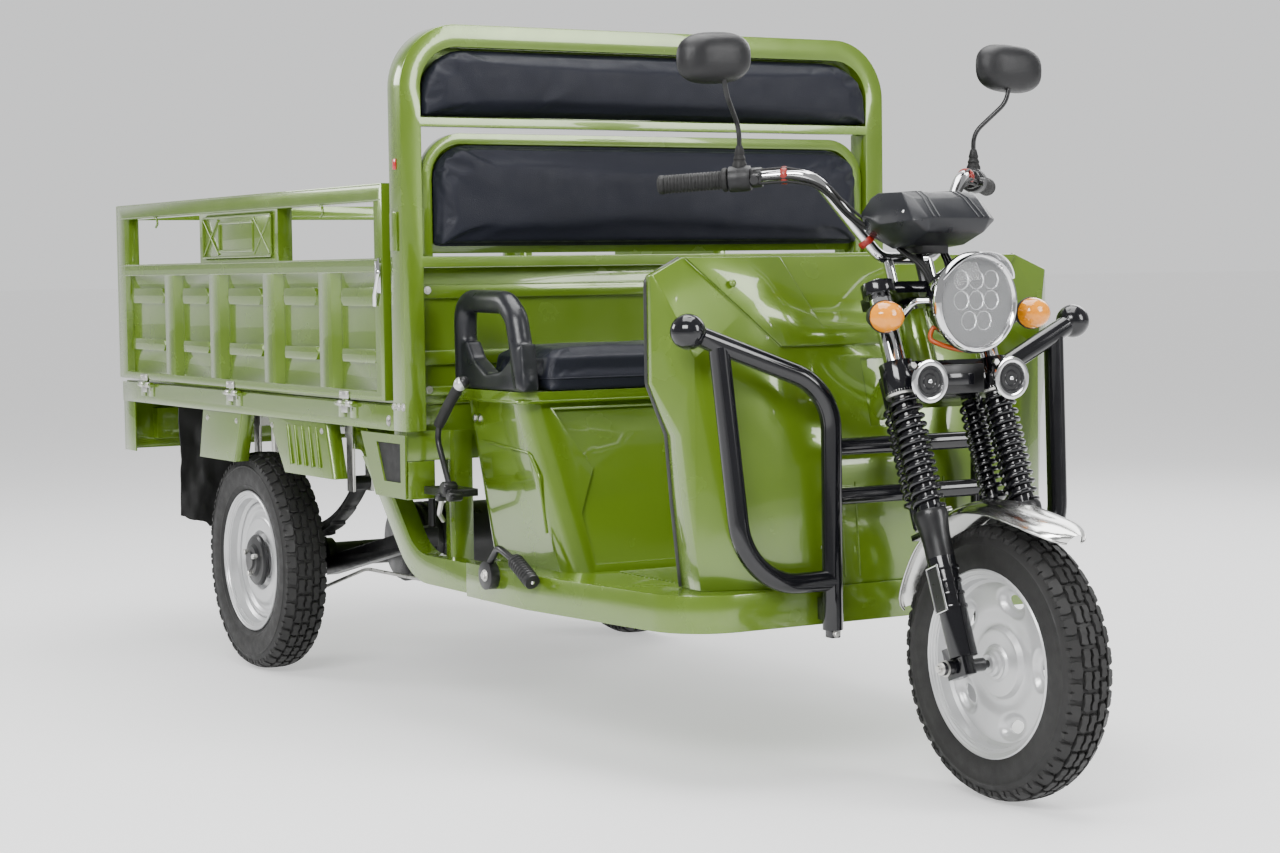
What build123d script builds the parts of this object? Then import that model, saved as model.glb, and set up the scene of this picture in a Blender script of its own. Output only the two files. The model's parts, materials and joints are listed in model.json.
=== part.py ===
# Electric cargo tricycle with a drop-sided load bed, a bench seat and a raked front fork.
# Millimetres. +X is forward, +Y is the rider's left, +Z is up, and the ground is Z = 0.
# The origin is on the ground, in the middle of the vehicle's length and width.

import os
from math import cos, radians, sin, tan

from build123d import *

os.makedirs("parts", exist_ok=True)

# Overall layout
REAR_AXLE_X = -824
WHEELBASE = 2179
TRACK_HALF = 501
REAR_TYRE_R = 260
REAR_TYRE_WIDTH = 105
FRONT_TYRE_R = 244.5
FRONT_TYRE_WIDTH = 95
RIM_FLANGE_R = 167.5
BEAD_R = 152
BED_HALF_WIDTH = 598
BED_REAR = -742
BED_FRONT = 942
BED_FLOOR_TOP = 671
HOOP_TOP = 1445
RAKE = 21
TRAIL = 59
FORK_OFFSET = 56
FORK_HALF = 105


def fwd(distance):
    """Station on X, measured forward from the rear axle."""
    return REAR_AXLE_X + distance


FRONT_AXLE_X = fwd(WHEELBASE)
STEER_FOOT_X = FRONT_AXLE_X + TRAIL
STEER_PLANE = Plane(
    origin=(STEER_FOOT_X, 0, 0),
    x_dir=(cos(radians(RAKE)), 0, sin(radians(RAKE))),
    z_dir=(-sin(radians(RAKE)), 0, cos(radians(RAKE))),
)
SIDES = (("left", 1), ("right", -1))


def steer(ahead, across, along):
    """Point ahead of the steering axis, across it, and along it up from the ground."""
    return STEER_PLANE.from_local_coords(Vector(ahead, across, along))


def block(low, high, mode=Mode.ADD):
    """Rectangular block between two corners."""
    low_corner = [min(a, b) for a, b in zip(low, high)]
    high_corner = [max(a, b) for a, b in zip(low, high)]
    centre = Vector(*[(a + b) / 2 for a, b in zip(low_corner, high_corner)])
    with Locations(centre):
        Box(*[b - a for a, b in zip(low_corner, high_corner)], mode=mode)


def rod(start, end, radius, mode=Mode.ADD):
    """Straight round bar from one point to another."""
    run = Vector(*end) - Vector(*start)
    with BuildSketch(Plane(origin=start, z_dir=run)) as section:
        Circle(radius)
    extrude(section.sketch, amount=run.length, mode=mode)


def bent_rod(points, radii, radius):
    """Round bar along straight runs joined by tangent arcs."""
    with BuildLine() as route:
        FilletPolyline(*points, radius=radii)
    with BuildSketch(Plane(origin=route.line @ 0, z_dir=route.line % 0)) as section:
        Circle(radius)
    sweep(section.sketch, path=route.line)


def plate(plane, outline, thickness, mode=Mode.ADD, radius=0):
    """Flat plate with a straight-edged outline on the given plane."""
    with BuildSketch(plane) as face:
        Polygon(*outline, align=None)
        if radius:
            fillet(face.vertices(), radius)
    extrude(face.sketch, amount=thickness, mode=mode)


def side_plane(y):
    """Plane across the vehicle at y, whose sketches read x to the right and z up."""
    return Plane(origin=(0, y, 0), x_dir=(1, 0, 0), z_dir=(0, -1, 0))


def front_plane(x):
    """Plane at station x, facing forward, whose sketches read y to the right and z up."""
    return Plane(origin=(x, 0, 0), x_dir=(0, 1, 0), z_dir=(1, 0, 0))


def save(piece, label):
    """Name a finished piece and write it as one STEP file."""
    piece.part.label = label
    export_step(piece.part, f"parts/{label}.step")


# Main frame: two rails under the bed, two cranked beams under the floor, and the steering head
RAIL_Y = 300
RAIL_WIDTH = 40
RAIL_TOP = 617
RAIL_DEPTH = 60
BEAM_Y = 500
BEAM_WIDTH = 40
BEAM_DEPTH = 60
FLOOR_TOP = 358
FLOOR_SHEET = 3
BEAM_Z = FLOOR_TOP - FLOOR_SHEET - BEAM_DEPTH / 2
BEAM_FRONT = 1380
POST_Y = 470
POST_SIZE = 42
POST_X = 982
HEAD_LOW = 815
HEAD_HIGH = 915
HEAD_R = 27
STEM_R = 14
RUNNING_GAP = 0.1
CROSS_STATIONS = (-700, -330, 330, 620)
FLOOR_BEARERS = (1160, 1360, 1600)

with BuildPart() as main_frame:
    for side, sign in SIDES:
        rail = (sign * (RAIL_Y - RAIL_WIDTH / 2), sign * (RAIL_Y + RAIL_WIDTH / 2))
        block((fwd(BED_REAR + 20), rail[0], RAIL_TOP - RAIL_DEPTH), (fwd(985), rail[1], RAIL_TOP))
    for station in CROSS_STATIONS:
        inner = RAIL_Y - RAIL_WIDTH / 2
        block((fwd(station - 20), -inner, RAIL_TOP - 45), (fwd(station + 20), inner, RAIL_TOP - 5))
    block((fwd(560), -BEAM_Y - 20, RAIL_TOP - RAIL_DEPTH), (fwd(600), BEAM_Y + 20, RAIL_TOP))
    block((fwd(925), -BED_HALF_WIDTH + 10, RAIL_TOP - RAIL_DEPTH), (fwd(985), BED_HALF_WIDTH - 10, RAIL_TOP))
    for side, sign in SIDES:
        with BuildLine() as beam_route:
            FilletPolyline(
                (fwd(560), sign * BEAM_Y, RAIL_TOP - BEAM_DEPTH / 2),
                (fwd(620), sign * BEAM_Y, RAIL_TOP - BEAM_DEPTH / 2),
                (fwd(860), sign * BEAM_Y, BEAM_Z),
                (fwd(BEAM_FRONT), sign * BEAM_Y, BEAM_Z),
                radius=[60, 150],
            )
        with BuildSketch(Plane(origin=beam_route.line @ 0, x_dir=(0, 1, 0), z_dir=(1, 0, 0))):
            Rectangle(BEAM_WIDTH, BEAM_DEPTH)
        sweep(path=beam_route.line)
        block(
            (fwd(POST_X - POST_SIZE / 2), sign * (POST_Y - POST_SIZE / 2), BEAM_Z),
            (fwd(POST_X + POST_SIZE / 2), sign * (POST_Y + POST_SIZE / 2), RAIL_TOP),
        )
        block((fwd(1140), sign * (RAIL_Y - 20), BEAM_Z - 25), (fwd(1830), sign * (RAIL_Y + 20), BEAM_Z + 15))
    for station in FLOOR_BEARERS:
        reach = BEAM_Y if station < BEAM_FRONT else RAIL_Y
        block((fwd(station - 20), -reach, BEAM_Z - 25), (fwd(station + 20), reach, BEAM_Z + 15))
    block((fwd(1400), -35, BEAM_Z - 25), (fwd(1800), 35, BEAM_Z + 15))
    bent_rod([(fwd(1700), 0, BEAM_Z), (fwd(1790), 0, 660), steer(0, 0, 865)], [120], 24)
    rod(steer(0, 0, HEAD_LOW), steer(0, 0, HEAD_HIGH), HEAD_R)
    rod(steer(0, 0, HEAD_LOW - 5), steer(0, 0, HEAD_HIGH + 5), STEM_R + RUNNING_GAP, Mode.SUBTRACT)
save(main_frame, "main_frame")

# Floor pan: a folded tray with rounded front corners
FLOOR_REAR = 1120
FLOOR_FRONT = 1868
FLOOR_HALF_REAR = 526
FLOOR_HALF_FRONT = 462
FLOOR_CORNER_R = 120
LIP_BOTTOM = 290


def floor_outline(inset):
    """Plan of the floor pan, drawn in from its edge by an inset."""
    with BuildSketch(Plane.XY.offset(LIP_BOTTOM)) as plan:
        with BuildLine():
            Polyline(
                (fwd(FLOOR_REAR) + inset, -FLOOR_HALF_REAR + inset),
                (fwd(FLOOR_REAR + 250), -FLOOR_HALF_REAR + inset),
                (fwd(FLOOR_FRONT) - inset, -FLOOR_HALF_FRONT + inset),
                (fwd(FLOOR_FRONT) - inset, FLOOR_HALF_FRONT - inset),
                (fwd(FLOOR_REAR + 250), FLOOR_HALF_REAR - inset),
                (fwd(FLOOR_REAR) + inset, FLOOR_HALF_REAR - inset),
                close=True,
            )
        make_face()
        fillet(plan.vertices().group_by(Axis.X)[-1], FLOOR_CORNER_R - inset)
    return plan.sketch


with BuildPart() as floor_pan:
    extrude(floor_outline(0), amount=FLOOR_TOP - LIP_BOTTOM)
    extrude(floor_outline(3), amount=FLOOR_TOP - FLOOR_SHEET - LIP_BOTTOM, mode=Mode.SUBTRACT)
    inner_half = FLOOR_HALF_REAR - 3
    inner_top = FLOOR_TOP - FLOOR_SHEET
    block((fwd(FLOOR_REAR), -inner_half, LIP_BOTTOM), (fwd(FLOOR_REAR + 9), inner_half, inner_top), Mode.SUBTRACT)
    block((fwd(1665), -27, inner_top - 5), (fwd(1750), 27, FLOOR_TOP + 1), Mode.SUBTRACT)
save(floor_pan, "floor_pan")

# Load bed: frame, floor sheet, drop sides on bottom hinges, tailgate
BED_FRAME_HALF = 590
BED_FRAME_LOW = 617
BED_SHEET = 3
WALL_IN = 560
WALL_LOW = 678
WALL_TOP = 1126
WALL_FRONT = 904
HINGE_Y = 596.5
HINGE_Z = 665
HINGE_R = 6.5
HINGE_PIN_R = 3
HINGE_STATIONS = (-560, 40, 700)
KNUCKLE = 30
GATE_BACK = -775.5
GATE_HALF = 590
GATE_HINGE_X = fwd(GATE_BACK + HINGE_R)
GATE_HINGE_YS = (-430, 0, 430)

with BuildPart() as bed_frame:
    low = BED_FRAME_LOW
    high = BED_FLOOR_TOP - BED_SHEET
    half = BED_FRAME_HALF
    block((fwd(BED_REAR - 13), -half, low), (fwd(BED_FRONT), half, high))
    block((fwd(BED_REAR + 27), -half + 40, low), (fwd(BED_FRONT - 60), half - 40, high), Mode.SUBTRACT)
    for station in (-420, -140, 140, 420, 700):
        block((fwd(station - 25), -half + 40, low), (fwd(station + 25), half - 40, high))
    for side, sign in SIDES:
        for station in HINGE_STATIONS:
            for shift in (-KNUCKLE - 0.5, KNUCKLE + 0.5):
                middle = fwd(station + shift)
                start = (middle - KNUCKLE / 2, sign * HINGE_Y, HINGE_Z)
                rod(start, (middle + KNUCKLE / 2, sign * HINGE_Y, HINGE_Z), HINGE_R)
                block(
                    (middle - KNUCKLE / 2, sign * (half - 2), HINGE_Z - 30),
                    (middle + KNUCKLE / 2, sign * (half + 3), HINGE_Z),
                )
            pin_start = (fwd(station - KNUCKLE - 10), sign * HINGE_Y, HINGE_Z)
            rod(pin_start, (fwd(station + KNUCKLE + 10), sign * HINGE_Y, HINGE_Z), HINGE_PIN_R)
    for middle in GATE_HINGE_YS:
        for shift in (-KNUCKLE - 0.5, KNUCKLE + 0.5):
            centre = middle + shift
            start = (GATE_HINGE_X, centre - KNUCKLE / 2, HINGE_Z)
            rod(start, (GATE_HINGE_X, centre + KNUCKLE / 2, HINGE_Z), HINGE_R)
            block(
                (GATE_HINGE_X, centre - KNUCKLE / 2, HINGE_Z - HINGE_R),
                (fwd(BED_REAR - 10), centre + KNUCKLE / 2, HINGE_Z),
            )
        pin_start = (GATE_HINGE_X, middle - KNUCKLE - 10, HINGE_Z)
        rod(pin_start, (GATE_HINGE_X, middle + KNUCKLE + 10, HINGE_Z), HINGE_PIN_R)
save(bed_frame, "bed_frame")

with BuildPart() as bed_floor:
    block(
        (fwd(BED_REAR + 2), -BED_FRAME_HALF + 5, BED_FLOOR_TOP - BED_SHEET),
        (fwd(BED_FRONT), BED_FRAME_HALF - 5, BED_FLOOR_TOP),
    )
save(bed_floor, "bed_floor")

# Pressed side walls: posts, rails, upright hat ribs and lying ridges on the panel
RAIL_LEVELS = ((WALL_LOW, 696), (943, 972), (1089, WALL_TOP))
REAR_POST_WIDTH = 55
FRONT_POST_WIDTH = 40
RIB_STATIONS = (-365, -57, 283, 602)
RIB_WIDTH = 95
RIB_SIDE = 14
PANEL_SHEET = 3
PANEL_OUT = 580
RIDGE_LEVELS = ((754, 782), (873, 911))
RIDGE_PROUD = 9
SIGN_REAR = -150
SIGN_FRONT = 340
SIGN_LOW = 975


def side_wall(sign):
    """One drop side with its middle knuckles, in the current part."""
    rear, front = fwd(BED_REAR), fwd(WALL_FRONT)
    outer, inner = sign * BED_HALF_WIDTH, sign * WALL_IN
    for low, high in RAIL_LEVELS:
        block((rear, inner, low), (front, outer, high))
    block((rear, inner, WALL_LOW), (rear + REAR_POST_WIDTH, outer, WALL_TOP))
    block((front - FRONT_POST_WIDTH, inner, WALL_LOW), (front, outer, WALL_TOP))
    block((rear, sign * (PANEL_OUT - PANEL_SHEET), WALL_LOW), (front, sign * PANEL_OUT, 943))
    for station in RIB_STATIONS:
        middle, half = fwd(station), RIB_WIDTH / 2
        with BuildSketch(Plane.XY.offset(690)) as rib:
            Polygon(
                (middle - half, sign * (PANEL_OUT - 1)),
                (middle + half, sign * (PANEL_OUT - 1)),
                (middle + half - RIB_SIDE, sign * (BED_HALF_WIDTH - 1)),
                (middle - half + RIB_SIDE, sign * (BED_HALF_WIDTH - 1)),
                align=None,
            )
        extrude(rib.sketch, amount=258)
    stations = [BED_REAR + REAR_POST_WIDTH - RIB_WIDTH / 2, *RIB_STATIONS, WALL_FRONT - FRONT_POST_WIDTH + RIB_WIDTH / 2]
    for left_rib, right_rib in zip(stations, stations[1:]):
        start, end = fwd(left_rib) + RIB_WIDTH / 2 + 12, fwd(right_rib) - RIB_WIDTH / 2 - 12
        for low, high in RIDGE_LEVELS:
            point = (high - low) / 2
            outline = [
                (start, (low + high) / 2),
                (start + point, low),
                (end - point, low),
                (end, (low + high) / 2),
                (end - point, high),
                (start + point, high),
            ]
            if sign < 0:
                with BuildSketch(side_plane(-PANEL_OUT)) as ridge:
                    Polygon(*outline, align=None)
            else:
                with BuildSketch(side_plane(PANEL_OUT)) as ridge:
                    Polygon(*outline, align=None)
            extrude(ridge.sketch, amount=-sign * RIDGE_PROUD, taper=0)
    block((fwd(SIGN_REAR), inner, 970), (fwd(SIGN_FRONT), sign * (BED_HALF_WIDTH - 3), 1090))
    for station in HINGE_STATIONS:
        start = fwd(station) - KNUCKLE / 2
        rod((start, sign * HINGE_Y, HINGE_Z), (start + KNUCKLE, sign * HINGE_Y, HINGE_Z), HINGE_R)
        block((start, sign * (HINGE_Y - 5), HINGE_Z), (start + KNUCKLE, sign * (HINGE_Y + 1), WALL_LOW + 2))
        pin_hole = ((start - 1, sign * HINGE_Y, HINGE_Z), (start + KNUCKLE + 1, sign * HINGE_Y, HINGE_Z))
        rod(*pin_hole, HINGE_PIN_R + RUNNING_GAP, Mode.SUBTRACT)


with BuildPart() as side_wall_left:
    side_wall(1)
save(side_wall_left, "side_wall_left")

with BuildPart() as side_wall_right:
    side_wall(-1)
save(side_wall_right, "side_wall_right")

GATE_FRONT = fwd(-747.5)
GATE_RIBS = (-354, -118, 118, 354)

with BuildPart() as tailgate:
    back = fwd(GATE_BACK)
    for low, high in RAIL_LEVELS:
        block((back, -GATE_HALF, low), (GATE_FRONT, GATE_HALF, high))
    for sign in (-1, 1):
        block((back, sign * (GATE_HALF - 40), WALL_LOW), (GATE_FRONT, sign * GATE_HALF, WALL_TOP))
    block((back + 12, -GATE_HALF, WALL_LOW), (back + 15, GATE_HALF, 943))
    for middle in GATE_RIBS:
        with BuildSketch(Plane.XY.offset(690)) as rib:
            Polygon(
                (back + 13, middle - 45),
                (back + 1, middle - 33),
                (back + 1, middle + 33),
                (back + 13, middle + 45),
                align=None,
            )
        extrude(rib.sketch, amount=258)
    for middle in GATE_HINGE_YS:
        start = middle - KNUCKLE / 2
        rod((GATE_HINGE_X, start, HINGE_Z), (GATE_HINGE_X, start + KNUCKLE, HINGE_Z), HINGE_R)
        block((GATE_HINGE_X - 3, start, HINGE_Z), (GATE_HINGE_X + 3, start + KNUCKLE, WALL_LOW + 2))
        hole = ((GATE_HINGE_X, start - 1, HINGE_Z), (GATE_HINGE_X, start + KNUCKLE + 1, HINGE_Z))
        rod(*hole, HINGE_PIN_R + RUNNING_GAP, Mode.SUBTRACT)
save(tailgate, "tailgate")

# Headboard: tall hoop, pressed front wall of the bed, seat back and pads
HOOP_HALF = 597.5
HOOP_FACE = 46
HOOP_FRONT = 1002
HOOP_CORNER_R = 130
HOOP_BASE = 618
UPPER_RAIL = (1237, 1256)
LOWER_RAIL = (952, 974)


def arch(half, top, base, corner, depth_front, depth):
    """Flat-footed arch with rounded top corners, extruded back from a station."""
    with BuildSketch(front_plane(fwd(depth_front))) as outline:
        with BuildLine():
            FilletPolyline((half, base), (half, top), (-half, top), (-half, base), radius=corner)
            Line((-half, base), (half, base))
        make_face()
    return extrude(outline.sketch, amount=-depth, mode=Mode.PRIVATE)


with BuildPart() as headboard_hoop:
    add(arch(HOOP_HALF, HOOP_TOP, HOOP_BASE, HOOP_CORNER_R, HOOP_FRONT, 60))
    inner_half = HOOP_HALF - HOOP_FACE
    inner_hoop = arch(inner_half, HOOP_TOP - HOOP_FACE, HOOP_BASE, HOOP_CORNER_R - HOOP_FACE, HOOP_FRONT, 60)
    add(inner_hoop, mode=Mode.SUBTRACT)
    for low, high in (UPPER_RAIL, LOWER_RAIL):
        block((fwd(HOOP_FRONT - 40), -inner_half, low), (fwd(HOOP_FRONT), inner_half, high))
save(headboard_hoop, "headboard_hoop")

WALL_PLANE = 946
with BuildPart() as headboard:
    half = HOOP_HALF - HOOP_FACE
    block((fwd(WALL_PLANE), -half, BED_FLOOR_TOP), (fwd(WALL_PLANE + 4), half, LOWER_RAIL[0]))
    for low, high in ((688, 706), (752, 780), (888, 915)):
        block((fwd(WALL_PLANE), -half + 12, low), (fwd(WALL_PLANE + 16), half - 12, high))
save(headboard, "headboard")

BACK_HALF = 546
BACK_TOP = 1225
with BuildPart() as seat_back_frame:
    add(arch(BACK_HALF, BACK_TOP, LOWER_RAIL[1], 90, 990, 22))
    back_opening = arch(BACK_HALF - 22, BACK_TOP - 22, LOWER_RAIL[1], 68, 990, 22)
    add(back_opening, mode=Mode.SUBTRACT)
    add(arch(BACK_HALF - 12, BACK_TOP - 12, LOWER_RAIL[1] + 6, 78, 972, 4))
save(seat_back_frame, "seat_back_frame")

with BuildPart() as lower_back_pad:
    add(arch(520, 1200, 995, 72, 1026, 50))
save(lower_back_pad, "lower_back_pad")

with BuildPart() as upper_back_board:
    add(arch(HOOP_HALF - HOOP_FACE, HOOP_TOP - HOOP_FACE, UPPER_RAIL[1], HOOP_CORNER_R - HOOP_FACE, 968, 4))
save(upper_back_board, "upper_back_board")

with BuildPart() as upper_back_pad:
    add(arch(546, 1393, 1260, 100, 1020, 51))
save(upper_back_pad, "upper_back_pad")

# Seat: tapered hollow base with a rim, battery inside, hinged cushion and side handles
SEAT_REAR = 1004
SEAT_FRONT = 1300
SEAT_HALF = 490
RIM_LOW = 685
RIM_TOP = 705
SEAT_FOOT_FRONT = 1420
SEAT_FOOT_REAR = 1060
SEAT_FOOT_HALF = 448
SEAT_WALL = 3
SEAT_HINGE_X = 1050
SEAT_HINGE_Z = 712


def seat_section(height, rear, front, half, corner, inset):
    """Plan of the seat base at one height, drawn in from its edge by an inset."""
    with BuildSketch(Plane.XY.offset(height)) as plan:
        with Locations((fwd((rear + front) / 2), 0)):
            RectangleRounded(front - rear - 2 * inset, 2 * (half - inset), corner - inset)
    return plan.sketch


SEAT_FACE_STEP = 9
SEAT_FACE_OUTLINE = (
    (-392, 372), (-398, 470), (-352, 552), (-412, 668), (412, 668), (352, 552), (398, 470), (392, 372),
)

with BuildPart() as seat_base:
    add(seat_section(FLOOR_TOP, SEAT_FOOT_REAR, SEAT_FOOT_FRONT, SEAT_FOOT_HALF, 50, 0))
    add(seat_section(RIM_LOW, SEAT_REAR, SEAT_FRONT - 20, SEAT_HALF - 18, 45, 0))
    loft()
    extrude(seat_section(RIM_LOW, SEAT_REAR, SEAT_FRONT, SEAT_HALF, 50, 0), amount=RIM_TOP - RIM_LOW)
    hollow_low = seat_section(FLOOR_TOP, SEAT_FOOT_REAR, SEAT_FOOT_FRONT - 12, SEAT_FOOT_HALF, 45, SEAT_WALL)
    hollow_high = seat_section(RIM_TOP, SEAT_REAR, SEAT_FRONT - 52, SEAT_HALF - 60, 45, SEAT_WALL)
    loft([hollow_low.face(), hollow_high.face()], mode=Mode.SUBTRACT)
    with BuildSketch(front_plane(fwd(1200))) as face_step:
        Polygon(*SEAT_FACE_OUTLINE, align=None)
    slab = extrude(face_step.sketch, amount=260, mode=Mode.PRIVATE)
    back_low = seat_section(FLOOR_TOP, SEAT_FOOT_REAR, SEAT_FOOT_FRONT - SEAT_FACE_STEP, SEAT_FOOT_HALF, 50, 0)
    back_high = seat_section(RIM_LOW, SEAT_REAR, SEAT_FRONT - 20 - SEAT_FACE_STEP, SEAT_HALF - 18, 45, 0)
    add(slab - loft([back_low.face(), back_high.face()], mode=Mode.PRIVATE), mode=Mode.SUBTRACT)
save(seat_base, "seat_base")

with BuildPart() as battery_pack:
    block((fwd(1085), -300, FLOOR_TOP), (fwd(1255), 300, 560))
save(battery_pack, "battery_pack")

with BuildPart() as seat_cushion:
    block((fwd(SEAT_HINGE_X), -430, RIM_TOP + 1), (fwd(SEAT_FRONT + 5), 430, RIM_TOP + 9))
    with BuildSketch(Plane.XY.offset(RIM_TOP + 9)) as pad:
        with Locations((fwd((SEAT_HINGE_X + SEAT_FRONT) / 2 + 4), 0)):
            RectangleRounded(SEAT_FRONT - SEAT_HINGE_X, 864, 30)
    extrude(pad.sketch, amount=70)
save(seat_cushion, "seat_cushion")

HANDLE_Y = 452
HANDLE_WIDTH = 40
HANDLE_LOOP = ((1010, RIM_TOP), (1010, 893), (1052, 911), (1215, 902), (1268, 868), (1318, 712), (1300, RIM_TOP))
HANDLE_GRIP_HOLE = ((1082, 770), (1070, 862), (1185, 860), (1215, 745), (1150, 735))


def rounded_outline(plane, outline, radius):
    """Straight-edged outline with rounded corners, with x given from the rear axle."""
    with BuildSketch(plane) as shape:
        Polygon(*[(fwd(x), z) for x, z in outline], align=None)
        fillet(shape.vertices(), radius)
    return shape.sketch


with BuildPart() as seat_handles:
    for side, sign in SIDES:
        plane = side_plane(sign * (HANDLE_Y + HANDLE_WIDTH / 2) + HANDLE_WIDTH / 2)
        extrude(rounded_outline(plane, HANDLE_LOOP, 8), amount=HANDLE_WIDTH)
        extrude(rounded_outline(plane, HANDLE_GRIP_HOLE, 14), amount=HANDLE_WIDTH, mode=Mode.SUBTRACT)
save(seat_handles, "seat_handles")

# Leg shield: one thin moulding, flat in the middle and swept back to its edges
SHIELD_EDGE = 1722
SHIELD_SHEET = 4
SHIELD_FACE = ((1862, 358), (1846, 560), (1812, 700), (1768, 860), (1734, 962))
SHIELD_PLAN = ((1740, 456), (1790, 395), (1870, 215))
SHIELD_OUTLINE = ((388, 358), (405, 520), (415, 640), (455, 735), (455, 930), (384, 962))


def shield_body(inset):
    """Solid form of the leg shield, drawn in from its face by an inset."""
    outline = [(y - inset, z) for y, z in SHIELD_OUTLINE]
    mirrored = [(-y, z) for y, z in reversed(outline)]
    with BuildSketch(front_plane(fwd(SHIELD_EDGE - 1))) as front:
        Polygon(*outline, *mirrored, align=None)
    with BuildSketch(side_plane(600)) as face:
        profile = [(fwd(x) - inset, z) for x, z in SHIELD_FACE]
        profile[-1] = (profile[-1][0], profile[-1][1] - inset)
        Polygon((fwd(SHIELD_EDGE) - inset, 358), *profile, (fwd(SHIELD_EDGE) - inset, 962 - inset), align=None)
    with BuildSketch(Plane.XY.offset(300)) as plan:
        edge = [(fwd(x) - inset, y - inset * 0.6) for x, y in SHIELD_PLAN]
        edge = [(fwd(SHIELD_EDGE) - inset, 456 - inset), *edge]
        Polygon(*edge, *[(x, -y) for x, y in reversed(edge)], align=None)
    body = extrude(front.sketch, amount=160, mode=Mode.PRIVATE)
    body = body & extrude(face.sketch, amount=1200, mode=Mode.PRIVATE)
    return body & extrude(plan.sketch, amount=700, mode=Mode.PRIVATE)


BROW = 7
BROW_OUTLINE = ((-380, 962), (-207, 797), (207, 797), (380, 962))
BROW_POCKET = ((-181, 970), (-110, 834), (110, 834), (181, 970))

with BuildPart() as leg_shield:
    add(shield_body(0))
    with BuildSketch(front_plane(fwd(SHIELD_EDGE - 1))) as brow_front:
        Polygon(*BROW_OUTLINE, align=None)
        Polygon(*BROW_POCKET, align=None, mode=Mode.SUBTRACT)
    brow = extrude(brow_front.sketch, amount=170, mode=Mode.PRIVATE)
    add(brow & shield_body(-BROW))
    add(shield_body(SHIELD_SHEET), mode=Mode.SUBTRACT)
    block((fwd(1730), -31, 645), (fwd(1880), 31, 770), Mode.SUBTRACT)
save(leg_shield, "leg_shield")

# Bull bar: two inner posts with cross bars, and an outer hoop with a ball-ended arm on each side
BAR_R = 19
BAR_X = 1895
BALL_R = 32.5
with BuildPart() as bull_bar:
    for side, sign in SIDES:
        arm = [
            (fwd(1842), sign * 439, 830),
            (fwd(BAR_X), sign * 170, 722),
            (fwd(BAR_X), sign * 170, 283),
        ]
        bent_rod(arm, [110], BAR_R)
        with Locations(arm[0]):
            Sphere(BALL_R)
        outer = [
            (fwd(1853), sign * 382, 800),
            (fwd(BAR_X), sign * 358, 373),
            (fwd(BAR_X), sign * 170, 373),
        ]
        bent_rod(outer, [120], BAR_R)
        block((fwd(1868), sign * 155, 300), (fwd(BAR_X), sign * 185, 340))
    for height in (615, 525):
        rod((fwd(BAR_X), -170, height), (fwd(BAR_X), 170, height), BAR_R - 3)
save(bull_bar, "bull_bar")

# Brackets and boards under the bed
STEP_OUT = 588
STEP_DEPTH = 60
STEP_OUTLINE = ((760, 612), (990, 612), (986, 478), (838, 478))
STEP_WINDOW = ((846, 593), (979, 594), (973, 521), (879, 519))
with BuildPart() as corner_steps:
    for side, sign in SIDES:
        plane = side_plane(sign * (STEP_OUT - STEP_DEPTH / 2) + STEP_DEPTH / 2)
        with BuildSketch(plane) as outer:
            Polygon(*[(fwd(x), z - 56 * (z > 600)) for x, z in STEP_OUTLINE], align=None)
        extrude(outer.sketch, amount=STEP_DEPTH)
    for side, sign in SIDES:
        with BuildSketch(side_plane(700)) as hollow:
            Polygon(*[(fwd(x), z - 60 * (z > 590)) for x, z in STEP_WINDOW], align=None)
        extrude(hollow.sketch, amount=1400, mode=Mode.SUBTRACT)
save(corner_steps, "corner_steps")

GUSSETS = (
    ((-180, 617), (70, 617), (20, 500), (-210, 500)),
    ((235, 617), (560, 617), (600, 495), (330, 495)),
)
with BuildPart() as mudguard_brackets:
    for side, sign in SIDES:
        for outline in GUSSETS:
            points = [(fwd(x), z) for x, z in outline]
            with BuildSketch(side_plane(sign * 584 + 2)) as web:
                Polygon(*points, align=None)
            extrude(web.sketch, amount=4)
            for start, end in ((points[0], points[3]), (points[1], points[2])):
                with BuildSketch(side_plane(sign * 568 + 16)) as flange:
                    with BuildLine():
                        Polyline(start, end, (end[0] + 4, end[1]), (start[0] + 4, start[1]), close=True)
                    make_face()
                extrude(flange.sketch, amount=32)
save(mudguard_brackets, "mudguard_brackets")

with BuildPart() as mud_flaps:
    for side, sign in SIDES:
        block((fwd(-345), sign * 415, 318), (fwd(-341), sign * 588, 560))
        block((fwd(-345), sign * 415, 555), (fwd(-325), sign * 588, 617))
save(mud_flaps, "mud_flaps")

with BuildPart() as lamp_board:
    block((fwd(-755), -588, 490), (fwd(-752), 588, 617))
    for side, sign in SIDES:
        block((fwd(-755), sign * 585, 488), (fwd(-670), sign * 588, 617))
        block((fwd(-753), sign * 330, 515), (fwd(-722), sign * 510, 595))
        rod((fwd(GATE_BACK), sign * 560, 532), (fwd(-752), sign * 560, 532), 10)
save(lamp_board, "lamp_board")

with BuildPart() as tail_lamps:
    for side, sign in SIDES:
        block((fwd(-773), sign * 325, 510), (fwd(-755), sign * 515, 600))
save(tail_lamps, "tail_lamps")

# Rear axle, its drive motor and what locates it
AXLE_R = 30
STUB_R = 14
DRUM_R = 92
DRUM_INNER = 405
DRUM_OUTER = 438
SPRING_Y = 380
ARM_Y = 345
MOTOR_X = 182
MOTOR_Z = 300
MOTOR_R = 88

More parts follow.
